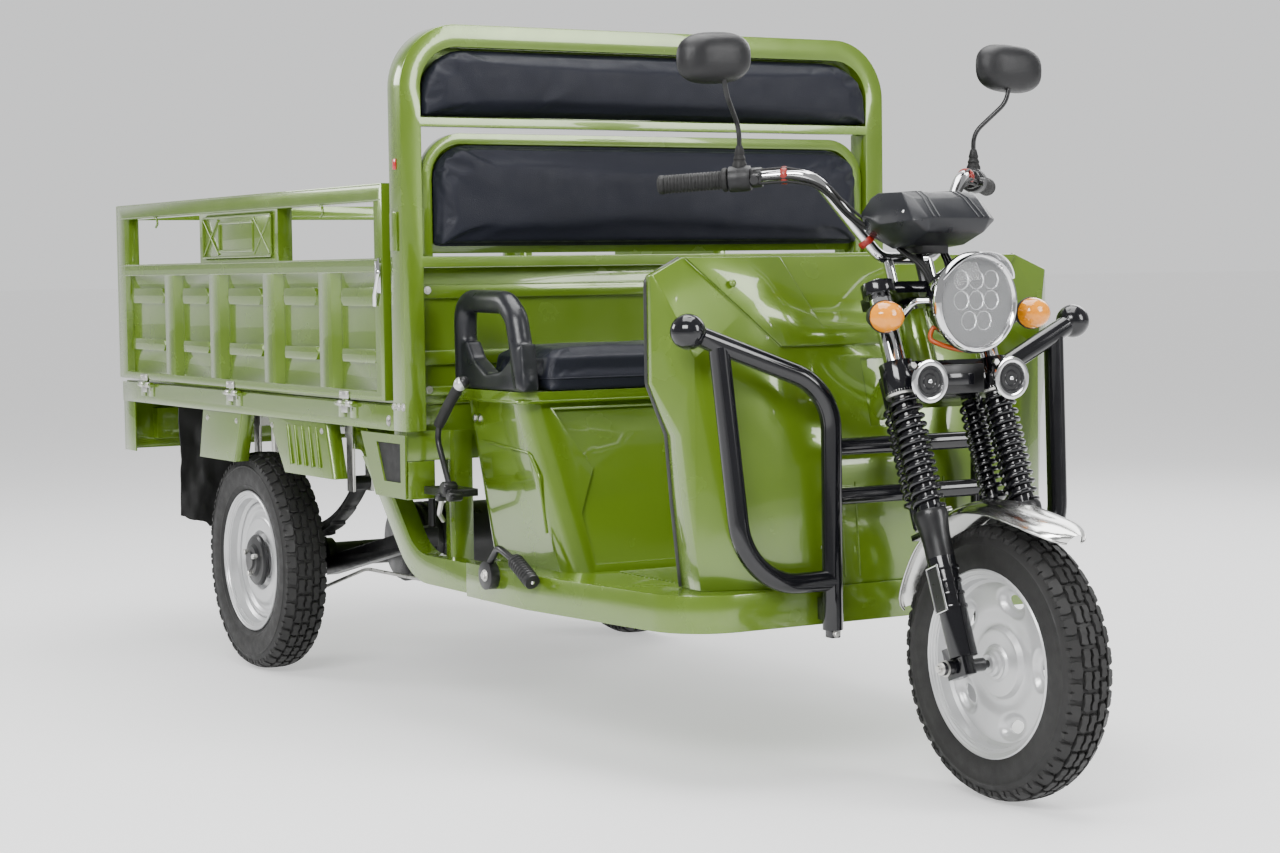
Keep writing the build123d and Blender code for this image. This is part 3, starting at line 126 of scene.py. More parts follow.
@dataclass(frozen=True)
class Finish:
    """One surface finish and how it is made from noise on Object coordinates."""

    name: str
    slot: str
    colour: tuple[float, float, float]
    second: tuple[float, float, float]
    metallic: float = 0.0
    roughness: float = 0.4
    rough_spread: float = 0.08
    coat: float = 0.0
    coat_roughness: float = 0.05
    grain: Grain = Grain.NONE
    grain_size: float = 400.0
    relief: float = 0.1
    patch_size: float = 6.0
    flake: float = 0.0
    glow: float = 0.0
    specular: float = 0.5
    alpha: float = 1.0

    def material(self) -> bpy.types.Material:
        """Build the finish once and return it.

        Returns:
            The material, made on the first call.
        """
        found = bpy.data.materials.get(self.name)
        if found:
            return found
        made = bpy.data.materials.new(self.name)
        made.use_nodes = True
        made.diffuse_color = (*self.colour, 1)
        nodes, links = made.node_tree.nodes, made.node_tree.links
        shader = nodes["Principled BSDF"]
        place = nodes.new("ShaderNodeTexCoord")
        patches = nodes.new("ShaderNodeTexNoise")
        patches.inputs["Scale"].default_value = self.patch_size
        patches.inputs["Detail"].default_value = 5
        links.new(place.outputs["Object"], patches.inputs["Vector"])
        blend = nodes.new("ShaderNodeMix")
        blend.data_type = "RGBA"
        blend.inputs["A"].default_value = (*self.colour, 1)
        blend.inputs["B"].default_value = (*self.second, 1)
        factor = patches.outputs["Fac"]
        if self.flake:
            factor = self._with_flakes(nodes, links, place, factor)
        links.new(factor, blend.inputs["Factor"])
        links.new(blend.outputs["Result"], shader.inputs["Base Color"])
        self._roughness(nodes, links, place, shader)
        self._relief(nodes, links, place, shader)
        for socket, value in (("Metallic", self.metallic), ("Coat Weight", self.coat),
                              ("Coat Roughness", self.coat_roughness), ("Specular IOR Level", self.specular),
                              ("Alpha", self.alpha)):
            shader.inputs[socket].default_value = value
        if self.glow:
            shader.inputs["Emission Color"].default_value = (*self.colour, 1)
            shader.inputs["Emission Strength"].default_value = self.glow
        return made

    def _with_flakes(self, nodes, links, place, factor) -> bpy.types.NodeSocket:
        """Mix fine metallic flakes into the colour factor and return the new factor."""
        flakes = nodes.new("ShaderNodeTexVoronoi")
        flakes.inputs["Scale"].default_value = FLAKES_PER_METRE
        links.new(place.outputs["Object"], flakes.inputs["Vector"])
        mixed = nodes.new("ShaderNodeMath")
        mixed.operation = "MULTIPLY_ADD"
        links.new(flakes.outputs["Distance"], mixed.inputs[0])
        mixed.inputs[1].default_value = self.flake
        links.new(factor, mixed.inputs[2])
        return mixed.outputs[0]

    def _roughness(self, nodes, links, place, shader) -> None:
        """Vary the roughness a little from place to place."""
        smears = nodes.new("ShaderNodeTexNoise")
        smears.inputs["Scale"].default_value = self.patch_size * SMEARS_PER_PATCH
        smears.inputs["Detail"].default_value = 6
        links.new(place.outputs["Object"], smears.inputs["Vector"])
        spread = nodes.new("ShaderNodeMapRange")
        least, most = max(0.02, self.roughness - self.rough_spread), self.roughness + self.rough_spread
        for socket, value in (("From Min", 0.3), ("From Max", 0.7), ("To Min", least), ("To Max", most)):
            spread.inputs[socket].default_value = value
        links.new(smears.outputs["Fac"], spread.inputs["Value"])
        links.new(spread.outputs["Result"], shader.inputs["Roughness"])

    def _relief(self, nodes, links, place, shader) -> None:
        """Add the fine relief of the grain as bump."""
        if self.grain is Grain.NONE:
            return
        if self.grain in (Grain.LEATHER, Grain.PEBBLE):
            texture = nodes.new("ShaderNodeTexVoronoi")
            output = texture.outputs["Distance"]
        else:
            texture = nodes.new("ShaderNodeTexNoise")
            texture.inputs["Detail"].default_value = 3
            output = texture.outputs["Fac"]
        texture.inputs["Scale"].default_value = self.grain_size
        source = place.outputs["Object"]
        if self.grain is Grain.BRUSHED:
            stretch = nodes.new("ShaderNodeMapping")
            stretch.inputs["Scale"].default_value = (0.05, 1.0, 1.0)
            links.new(source, stretch.inputs["Vector"])
            source = stretch.outputs["Vector"]
        links.new(source, texture.inputs["Vector"])
        bump = nodes.new("ShaderNodeBump")
        bump.inputs["Strength"].default_value = self.relief
        bump.inputs["Distance"].default_value = RELIEF_DEPTH
        links.new(output, bump.inputs["Height"])
        links.new(bump.outputs["Normal"], shader.inputs["Normal"])


GREEN = Finish("green_gloss_paint", "green_paint", (0.082, 0.150, 0.006), (0.108, 0.186, 0.011), 0.25, 0.24, 0.05,
               0.9, 0.04, Grain.ORANGE_PEEL, 260, 0.03, 3.0, 0.25)
GREEN_BED = Finish("green_bed_paint", "bed_sheet", (0.10, 0.165, 0.014), (0.14, 0.21, 0.024), 0.2, 0.36, 0.12,
                   0.5, 0.12, Grain.ORANGE_PEEL, 260, 0.05, 5.0, 0.2)
VINYL = Finish("navy_black_vinyl", "pad_cover", (0.007, 0.008, 0.013), (0.011, 0.012, 0.019), 0.0, 0.46, 0.08,
               0.0, 0.3, Grain.LEATHER, 620, 0.30, 9.0, specular=0.2)
BLACK_GLOSS = Finish("black_gloss_paint", "black_gloss", (0.003, 0.003, 0.004), (0.006, 0.006, 0.008), 0.0, 0.13,
                     0.05, 0.3, 0.04, Grain.ORANGE_PEEL, 300, 0.03, 5.0, specular=0.38)
BLACK_SATIN = Finish("black_satin_metal", "black_gloss", (0.005, 0.005, 0.0055), (0.010, 0.010, 0.011), 0.0, 0.36,
                     0.1, 0.15, 0.2, Grain.ORANGE_PEEL, 500, 0.06, 8.0, specular=0.35)
PLASTIC = Finish("black_grained_plastic", "black_plastic", (0.007, 0.007, 0.008), (0.012, 0.012, 0.013), 0.0, 0.42,
                 0.08, 0.0, 0.1, Grain.PEBBLE, 900, 0.18, 8.0, specular=0.35)
GREY_PLASTIC = Finish("grey_grained_plastic", "black_plastic", (0.008, 0.0085, 0.011), (0.012, 0.013, 0.016), 0.0,
                      0.34, 0.08, 0.1, 0.2, Grain.PEBBLE, 700, 0.12, 8.0, specular=0.35)
RUBBER = Finish("black_rubber", "rubber", (0.006, 0.006, 0.006), (0.012, 0.012, 0.012), 0.0, 0.55, 0.1, 0.0, 0.1,
                Grain.RUBBER, 500, 0.25, 10.0, specular=0.3)
TYRE = Finish("tyre_rubber", "tyre", (0.008, 0.008, 0.008), (0.018, 0.0175, 0.017), 0.0, 0.58, 0.1, 0.0, 0.1,
              Grain.RUBBER, 420, 0.3, 14.0, specular=0.35)
CHROME = Finish("bright_chrome", "chrome", (0.72, 0.72, 0.73), (0.78, 0.78, 0.79), 1.0, 0.07, 0.03, 0.0, 0.1,
                Grain.ORANGE_PEEL, 120, 0.02, 5.0)
STEEL = Finish("polished_sheet_steel", "steel_sheet", (0.60, 0.60, 0.59), (0.68, 0.68, 0.66), 1.0, 0.16, 0.05,
               0.0, 0.1, Grain.BRUSHED, 300, 0.05, 6.0)
ZINC = Finish("zinc_plated_steel", "zinc", (0.52, 0.52, 0.50), (0.64, 0.63, 0.60), 1.0, 0.34, 0.08, 0.0, 0.1,
              Grain.ORANGE_PEEL, 350, 0.08, 22.0)
SILVER = Finish("silver_wheel_paint", "silver_paint", (0.50, 0.505, 0.51), (0.57, 0.575, 0.58), 0.55, 0.36, 0.05,
                0.4, 0.15, Grain.ORANGE_PEEL, 420, 0.05, 6.0, 0.2)
AMBER = Finish("amber_ribbed_lens", "amber_lens", (0.60, 0.165, 0.0), (0.82, 0.30, 0.0), 0.0, 0.10, 0.03, 0.5,
               0.02, Grain.PEBBLE, 220, 0.25, 40.0, specular=0.4)
RED_LENS = Finish("red_ribbed_lens", "red_lens", (0.36, 0.006, 0.006), (0.48, 0.01, 0.01), 0.0, 0.14, 0.03, 0.6,
                  0.03, Grain.PEBBLE, 260, 0.2, 12.0)
CLEAR_LENS = Finish("clear_lens", "chrome", (0.93, 0.95, 0.96), (0.97, 0.98, 0.99), 0.0, 0.04, 0.02, 0.2, 0.02,
                    Grain.NONE, alpha=0.10)
REFLECTOR = Finish("bright_reflector", "chrome", (0.86, 0.87, 0.88), (0.93, 0.93, 0.94), 1.0, 0.12, 0.05, 0.0,
                   0.1, Grain.PEBBLE, 180, 0.1, 30.0)
LED_YELLOW = Finish("led_chip", "amber_lens", (0.95, 0.86, 0.45), (1.0, 0.92, 0.55), 0.0, 0.3, 0.05, 0.3, 0.1,
                    Grain.NONE, glow=0.4)
MIRROR_GLASS = Finish("mirror_glass", "black_plastic", (0.75, 0.77, 0.79), (0.8, 0.81, 0.83), 1.0, 0.03, 0.01)
DARK_TRIM = Finish("dark_edge_trim", "rubber", (0.010, 0.011, 0.010), (0.018, 0.019, 0.018), 0.0, 0.42, 0.08, 0.1,
                   0.2, Grain.RUBBER, 600, 0.12, 9.0)
ORANGE_WIRE = Finish("orange_wire_sleeve", "amber_lens", (0.35, 0.05, 0.0), (0.42, 0.07, 0.0), 0.0, 0.45, 0.05)
RED_CLIP = Finish("red_cable_clip", "red_lens", (0.20, 0.008, 0.004), (0.26, 0.012, 0.006), 0.0, 0.4, 0.05)
BATTERY = Finish("battery_case", "black_plastic", (0.02, 0.02, 0.022), (0.03, 0.03, 0.033), 0.0, 0.5, 0.08, 0.0,
                 0.1, Grain.PEBBLE, 400, 0.15, 8.0)

NODE_FINISHES: dict[str, Finish] = {
    "bed_floor": GREEN_BED, "battery_pack": BATTERY, "bull_bar": BLACK_GLOSS, "rear_axle": BLACK_SATIN,
    "drive_motor": BLACK_SATIN, "leaf_springs": BLACK_SATIN, "spring_hangers": ZINC, "trailing_arms": BLACK_SATIN,
    "brake_rods": ZINC, "gear_lever": BLACK_SATIN, "parking_lever": BLACK_SATIN, "brake_pedal": BLACK_SATIN,
    "fork_clamps": BLACK_GLOSS, "fork_stanchions": CHROME, "fork_sliders": BLACK_GLOSS, "handlebar": CHROME,
}
NODE_EDGE = 0.0015
SOFT_EDGES: dict[str, float] = {"seat_base": 0.006}
NODE_BODY: dict[str, str] = {
    node: body for body, nodes in frame["record"]["behaviour"]["bodies"].items() for node in nodes
}


class Workshop:
    """Small jobs that every sub-assembly uses: meshes, finishes, smoothing and riding."""

    @staticmethod
    def mesh_object(name: str, build: bmesh.types.BMesh) -> bpy.types.Object:
        """Turn a bmesh into an object at the origin.

        Args:
            name: the piece's name.
            build: the mesh, freed here.

        Returns:
            The new object.
        """
        bmesh.ops.remove_doubles(build, verts=build.verts, dist=1e-6)
        bmesh.ops.recalc_face_normals(build, faces=build.faces)
        return Workshop.freed(name, build)

    @staticmethod
    def linked(name: str, data: bpy.types.ID) -> bpy.types.Object:
        """New object at the origin, in the scene."""
        made = bpy.data.objects.new(name, data)
        bpy.context.scene.collection.objects.link(made)
        return made

    @classmethod
    def freed(cls, name: str, build: bmesh.types.BMesh) -> bpy.types.Object:
        """Turn a bmesh into an object as it is, and free it."""
        mesh = bpy.data.meshes.new(name)
        build.to_mesh(mesh)
        build.free()
        return cls.linked(name, mesh)

    @staticmethod
    def bake(piece: bpy.types.Object) -> bpy.types.Object:
        """Replace a piece's mesh by its evaluated one and clear its modifiers."""
        bpy.context.view_layer.update()
        graph = bpy.context.evaluated_depsgraph_get()
        mesh = bpy.data.meshes.new_from_object(piece.evaluated_get(graph))
        mesh.transform(piece.matrix_world)
        piece.modifiers.clear()
        name = piece.name
        if piece.type != "MESH":
            bpy.data.objects.remove(piece)
            piece = Workshop.linked(name, mesh)
        else:
            piece.data = mesh
            piece.matrix_world = Matrix.Identity(4)
        return piece

    @staticmethod
    def paint(piece: bpy.types.Object, finish: Finish) -> bpy.types.Object:
        """Give a part of a piece its finish and return it."""
        piece.data.materials.append(finish.material())
        return piece

    @staticmethod
    def skin(build: bmesh.types.BMesh, rings: list[list[bmesh.types.BMVert]], closed: bool = True,
             ends: bool = False) -> None:
        """Join rings of vertices by faces.

        Args:
            build: the mesh.
            rings: equally long rings, one after another.
            closed: whether each ring runs back to its start.
            ends: whether the first and last rings are filled.
        """
        count = len(rings[0])
        for low, high in zip(rings, rings[1:]):
            for start in range(count if closed else count - 1):
                after = (start + 1) % count
                build.faces.new((low[start], low[after], high[after], high[start]))
        if ends:
            build.faces.new(rings[0])
            build.faces.new(rings[-1])

    @classmethod
    def turned(cls, name: str, line: list[tuple[float, float]], spot: Point, axis: Point, steps: int,
               finish: Finish) -> bpy.types.Object:
        """Turned part with its finish, to be joined to others."""
        return cls.paint(cls.lathe(name, line, spot, axis, steps), finish)

    @staticmethod
    def smooth(piece: bpy.types.Object, angle: float = 35.0) -> None:
        """Shade smooth, with edges sharper than an angle in degrees kept sharp."""
        mesh = piece.data
        mesh.polygons.foreach_set("use_smooth", [True] * len(mesh.polygons))
        mesh.set_sharp_from_angle(angle=math.radians(angle))
        mesh.update()

    @classmethod
    def finish_piece(cls, piece: bpy.types.Object, finish: Finish, body: Body | str, angle: float = 35.0,
                     replaces: tuple[str, ...] = ()) -> bpy.types.Object:
        """Dress a finished piece, put it on its body and report it.

        Args:
            piece: the mesh object at the origin.
            finish: its surface.
            body: the body it rides on.
            angle: edges sharper than this stay sharp, in degrees.
            replaces: nodes that this piece stands for.

        Returns:
            The same piece.
        """
        if not piece.data.materials:
            piece.data.materials.append(finish.material())
        cls.smooth(piece, angle)
        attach(piece, body.value if isinstance(body, Body) else body)
        if replaces:
            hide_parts(*replaces)
        log.info("%s: %d faces", piece.name, len(piece.data.polygons))
        return piece

    @classmethod
    def join(cls, name: str, pieces: list[bpy.types.Object]) -> bpy.types.Object:
        """Join several mesh objects at the origin into one, keeping their materials."""
        build = bmesh.new()
        materials: list[bpy.types.Material] = []
        for piece in pieces:
            start = len(build.faces)
            build.from_mesh(piece.data)
            build.faces.ensure_lookup_table()
            slots = list(piece.data.materials)
            for slot in slots:
                if slot not in materials:
                    materials.append(slot)
            for face in build.faces[start:]:
                face.material_index = materials.index(slots[face.material_index]) if slots else 0
            bpy.data.objects.remove(piece)
        made = cls.freed(name, build)
        for material in materials:
            made.data.materials.append(material)
        return made

    @classmethod
    def lathe(cls, name: str, profile: list[tuple[float, float]], centre: Point, axis: Point,
              steps: int = 64) -> bpy.types.Object:
        """Turn a profile of (radius, height) about an axis.

        Args:
            name: the piece's name.
            profile: points from one end to the other, as (radius, height along the axis).
            centre: where the height is nought.
            axis: the direction of growing height.
            steps: facets round the axis.

        Returns:
            The turned piece.
        """
        build = bmesh.new()
        upright = Vector(axis).normalized()
        turned = upright.to_track_quat("Z", "Y").to_matrix()
        rings = []
        for radius, height in profile:
            if radius < 1e-6:
                rings.append([build.verts.new(Vector(centre) + upright * height)])
                continue
            ring = []
            for step in range(steps):
                angle = 2 * math.pi * step / steps
                local = Vector((radius * math.cos(angle), radius * math.sin(angle), height))
                ring.append(build.verts.new(Vector(centre) + turned @ local))
            rings.append(ring)
        for low, high in zip(rings, rings[1:]):
            for step in range(steps):
                after = (step + 1) % steps
                corners = (low[step % len(low)], low[after % len(low)],
                           high[after % len(high)], high[step % len(high)])
                unique = list(dict.fromkeys(corners))
                if len(unique) > 2:
                    build.faces.new(unique)
        return cls.mesh_object(name, build)

    @classmethod
    def block(cls, name: str, low: Point, high: Point, bevel: float = 0.001) -> bpy.types.Object:
        """Rectangular block between two corners, with its edges rounded."""
        build = bmesh.new()
        size = [abs(b - a) for a, b in zip(low, high)]
        centre = [(a + b) / 2 for a, b in zip(low, high)]
        bmesh.ops.create_cube(build, size=1.0, matrix=Matrix.Translation(centre) @ Matrix.Diagonal((*size, 1)))
        if bevel:
            bmesh.ops.bevel(build, geom=build.edges[:], offset=bevel, segments=2, profile=0.5, affect="EDGES")
        return cls.mesh_object(name, build)

    @classmethod
    def pipe(cls, name: str, points: list[Point], radius: float, bend: float = 0.0, sides: int = 8,
             smooth_line: bool = False) -> bpy.types.Object:
        """Round bar or cable through points.

        Args:
            name: the piece's name.
            points: the line's corners.
            radius: the bar's radius.
            bend: radius of the rounded corners, or nought.
            sides: resolution of the round.
            smooth_line: follow the points with one smooth curve.

        Returns:
            A mesh tube with closed ends.
        """
        curve = bpy.data.curves.new(name, "CURVE")
        curve.dimensions = "3D"
        curve.bevel_depth = radius
        curve.bevel_resolution = sides // 2
        curve.use_fill_caps = True
        route = [Vector(p) for p in points]
        if bend and len(route) > 2:
            route = cls.rounded(route, bend)
        spline = curve.splines.new("NURBS" if smooth_line else "POLY")
        spline.points.add(len(route) - 1)
        for target, point in zip(spline.points, route):
            target.co = (*point, 1)
        if smooth_line:
            spline.order_u, spline.use_endpoint_u = 3, True
            curve.resolution_u = 8
        return cls.bake(cls.linked(name, curve))

    @staticmethod
    def rounded(route: list[Vector], bend: float, steps: int = 8) -> list[Vector]:
        """Round the corners of a line of straight runs."""
        line = [route[0]]
        for before, corner, after in zip(route, route[1:], route[2:]):
            back, ahead = (before - corner).normalized(), (after - corner).normalized()
            half = back.angle(ahead) / 2
            reach = min(bend / math.tan(half), (before - corner).length * 0.48, (after - corner).length * 0.48)
            start, end = corner + back * reach, corner + ahead * reach
            for step in range(steps + 1):
                t = step / steps
                line.append(start * (1 - t) ** 2 + corner * 2 * t * (1 - t) + end * t ** 2)
        line.append(route[-1])
        return line

    @classmethod
    def soften_node(cls, node: str, finish: Finish, width: float) -> bpy.types.Object:
        """Stand a copy of a node, with its sharp edges rounded, in the node's place.

        Args:
            node: the node's name.
            finish: its surface.
            width: radius of the rounded edges.

        Returns:
            The new piece.
        """
        build = bmesh.new()
        build.from_mesh(frame["nodes"][node].data)
        bmesh.ops.remove_doubles(build, verts=build.verts, dist=2e-5)
        made = cls.freed(f"{node}_shape", build)
        bevel = made.modifiers.new("edge", "BEVEL")
        bevel.width, bevel.segments = width, 2
        bevel.limit_method, bevel.angle_limit = "ANGLE", math.radians(30)
        cls.bake(made)
        return cls.finish_piece(made, finish, NODE_BODY[node], 40.0, (node,))


class Repeater:
    """Geometry Nodes repeats of one motif, turned into plain meshes."""

    @staticmethod
    def _ring_tree(name: str) -> bpy.types.NodeTree:
        """Node tree that turns copies of a motif about an axis through the origin."""
        tree = bpy.data.node_groups.new(name, "GeometryNodeTree")
        face = tree.interface
        for socket, kind in (("Geometry", "Geometry"), ("Motif", "Object"), ("Count", "Int"), ("Step", "Vector"),
                             ("Travel", "Vector"), ("Wear", "Float"), ("Seed", "Int"), ("Finish", "Material")):
            face.new_socket(socket, in_out="INPUT", socket_type=f"NodeSocket{kind}")
        face.new_socket("Geometry", in_out="OUTPUT", socket_type="NodeSocketGeometry")
        nodes, links = tree.nodes, tree.links
        given, made = nodes.new("NodeGroupInput"), nodes.new("NodeGroupOutput")
        line = nodes.new("GeometryNodeMeshLine")
        links.new(given.outputs["Count"], line.inputs["Count"])
        line.inputs["Offset"].default_value = (0, 0, 0)
        motif = nodes.new("GeometryNodeObjectInfo")
        links.new(given.outputs["Motif"], motif.inputs["Object"])
        index = nodes.new("GeometryNodeInputIndex")
        turn, shift = nodes.new("ShaderNodeVectorMath"), nodes.new("ShaderNodeVectorMath")
        for maker, step in ((turn, "Step"), (shift, "Travel")):
            maker.operation = "SCALE"
            links.new(given.outputs[step], maker.inputs[0])
            links.new(index.outputs[0], maker.inputs["Scale"])
        place = nodes.new("GeometryNodeSetPosition")
        links.new(line.outputs["Mesh"], place.inputs["Geometry"])
        links.new(shift.outputs["Vector"], place.inputs["Offset"])
        wear = nodes.new("FunctionNodeRandomValue")
        wear.data_type = "FLOAT"
        less = nodes.new("ShaderNodeMath")
        less.operation = "SUBTRACT"
        less.inputs[0].default_value = 1.0
        links.new(given.outputs["Wear"], less.inputs[1])
        floats = [socket for socket in wear.inputs if socket.type == "VALUE"]
        links.new(less.outputs[0], floats[0])
        floats[1].default_value = 1.0
        links.new(given.outputs["Seed"], wear.inputs["Seed"])
        copies = nodes.new("GeometryNodeInstanceOnPoints")
        links.new(place.outputs["Geometry"], copies.inputs["Points"])
        links.new(motif.outputs["Geometry"], copies.inputs["Instance"])
        links.new(turn.outputs["Vector"], copies.inputs["Rotation"])
        links.new([s for s in wear.outputs if s.type == "VALUE"][0], copies.inputs["Scale"])
        whole = nodes.new("GeometryNodeRealizeInstances")
        links.new(copies.outputs["Instances"], whole.inputs["Geometry"])
        dress = nodes.new("GeometryNodeSetMaterial")
        links.new(whole.outputs["Geometry"], dress.inputs["Geometry"])
        links.new(given.outputs["Finish"], dress.inputs["Material"])
        links.new(dress.outputs["Geometry"], made.inputs["Geometry"])
        return tree

    @classmethod
    def repeat(cls, name: str, motif: bpy.types.Object, count: int, finish: Finish, centre: Point = (0, 0, 0),
               step: Point = (0, 0, 0), travel: Point = (0, 0, 0), wear: float = 0.0,
               seed: int = 7) -> bpy.types.Object:
        """Repeat a motif and return the copies as one plain mesh.

        Args:
            name: the new piece's name.
            motif: what is repeated, drawn about the origin, removed here.
            count: number of copies.
            finish: its surface.
            centre: where the origin of the motif goes.
            step: turn from one copy to the next, in radians about X, Y and Z.
            travel: shift from one copy to the next.
            wear: largest share by which a copy is smaller.
            seed: the fixed seed of the wear.

        Returns:
            The copies as one mesh object at the origin.
        """
        tree = bpy.data.node_groups.get("ring_of_copies") or cls._ring_tree("ring_of_copies")
        host = Workshop.linked(name, bpy.data.meshes.new(name))
        maker = host.modifiers.new("copies", "NODES")
        maker.node_group = tree
        values = {"Motif": motif, "Count": count, "Step": step, "Travel": travel, "Wear": wear, "Seed": seed,
                  "Finish": finish.material()}
        for item in tree.interface.items_tree:
            if item.in_out == "INPUT" and item.name in values:
                maker[item.identifier] = values[item.name]
        host.matrix_world = Matrix.Translation(centre)
        Workshop.bake(host)
        bpy.data.objects.remove(motif)
        return host


@dataclass
class Tyre:
    """Block-tread tyre: a turned carcass with shoulder ribs and a ring of tread blocks."""

    name: str
    centre: Point
    radius: float
    half_width: float
    body: Body
    node: str
    pitches: int = 42
    groove: float = 0.0065
    wear: float = 0.0004
    shoulder_drop: float = 0.0155

    def crown(self, across: float) -> float:
        """Radius of the tread's face at a distance from the middle."""
        share = min(1.0, abs(across) / self.half_width)
        return self.radius - self.wear - self.shoulder_drop * share ** 3.2

    def carcass(self) -> bpy.types.Object:
        """Turned carcass down to the bead, with bands on the sidewall."""
        wide, rim = self.half_width, self.radius - 0.0925
        side = [
            (0.1605, wide * 0.66), (0.1670, wide * 0.74), (0.1695, wide * 0.735), (0.1720, wide * 0.80),
            (rim + 0.012, wide * 0.90), (rim + 0.0135, wide * 0.925), (rim + 0.0165, wide * 0.925),
            (rim + 0.018, wide * 0.935), (rim + 0.030, wide * 0.985), (rim + 0.044, wide), (rim + 0.0565, wide * 0.985),
            (rim + 0.058, wide * 1.0), (rim + 0.0605, wide * 0.995), (rim + 0.062, wide * 0.965),
        ]
        top = [(self.crown(wide * s) - self.groove, wide * s) for s in (0.9, 0.8, 0.66, 0.5, 0.33, 0.16, 0.0)]
        half = side + top
        loop = half + [(r, -y) for r, y in reversed(half[:-1])]
        loop += [(0.158, -wide * 0.5), (0.158, wide * 0.5), half[0]]
        return Workshop.lathe(f"{self.name}_carcass", loop, self.centre, (0, 1, 0), 96)

    def blocks(self) -> bpy.types.Object:
        """One pitch of the tread: centre, middle and shoulder blocks with a cut in each."""
        pitch = 2 * math.pi * self.radius / self.pitches
        wide = self.half_width
        rows: list[tuple[float, list[tuple[float, float]]]] = [
            (0.0, [(-0.36, -0.13), (-0.10, -0.15), (0.08, -0.08), (0.36, -0.12), (0.42, 0.02), (0.36, 0.13),
                   (0.10, 0.15), (-0.08, 0.08), (-0.36, 0.12), (-0.42, -0.02)]),
            (0.5, [(-0.40, 0.22), (-0.06, 0.25), (0.12, 0.20), (0.40, 0.23), (0.42, 0.44), (0.30, 0.50),
                   (-0.02, 0.47), (-0.34, 0.52), (-0.44, 0.38)]),
            (0.0, [(-0.38, 0.60), (-0.04, 0.56), (0.36, 0.60), (0.40, 0.78), (0.34, 0.93), (0.06, 0.955),
                   (0.02, 0.86), (-0.04, 0.86), (-0.08, 0.955), (-0.36, 0.93), (-0.42, 0.76)]),
        ]
        build = bmesh.new()
        for shift, outline in rows:
            for sign in (1, -1):
                if sign < 0 and outline is rows[0][1]:
                    continue
                offset = shift if sign > 0 else shift + 0.5
                points = [((s + offset) * pitch, sign * y * wide) for s, y in outline]
                if sign < 0:
                    points.reverse()
                self._block(build, points)
        return Workshop.mesh_object(f"{self.name}_pitch", build)

    def _block(self, build: bmesh.types.BMesh, points: list[tuple[float, float]]) -> None:
        """Raise one block with a chamfered top from its outline on the crown."""
        middle = (sum(p[0] for p in points) / len(points), sum(p[1] for p in points) / len(points))
        levels = ((-self.groove - 0.001, 1.07), (-0.0012, 1.0), (0.0, 0.93))
        rings = []
        for depth, grow in levels:
            ring = []
            for along, across in points:
                s = middle[0] + (along - middle[0]) * grow
                y = middle[1] + (across - middle[1]) * grow
                reach = self.crown(y) + depth
                angle = s / self.radius
                ring.append(build.verts.new((reach * math.cos(angle), y, reach * math.sin(angle))))
            rings.append(ring)
        Workshop.skin(build, rings, ends=True)

    def build(self) -> set[str]:
        """Make the tyre and return the node it stands for."""
        carcass = self.carcass()
        turn = 2 * math.pi / self.pitches
        tread = Repeater.repeat(f"{self.name}_tread", self.blocks(), self.pitches, TYRE, self.centre, (0, turn, 0),
                                wear=0.004, seed=11)
        Workshop.finish_piece(tread, TYRE, self.body, 30)
        Workshop.finish_piece(carcass, TYRE, self.body, 30, (self.node,))
        return {self.node}


class DiscStyle(Enum):
    """Pressed disc patterns of the wheels."""

    WINDOWS = "windows"
    STEPPED = "stepped"


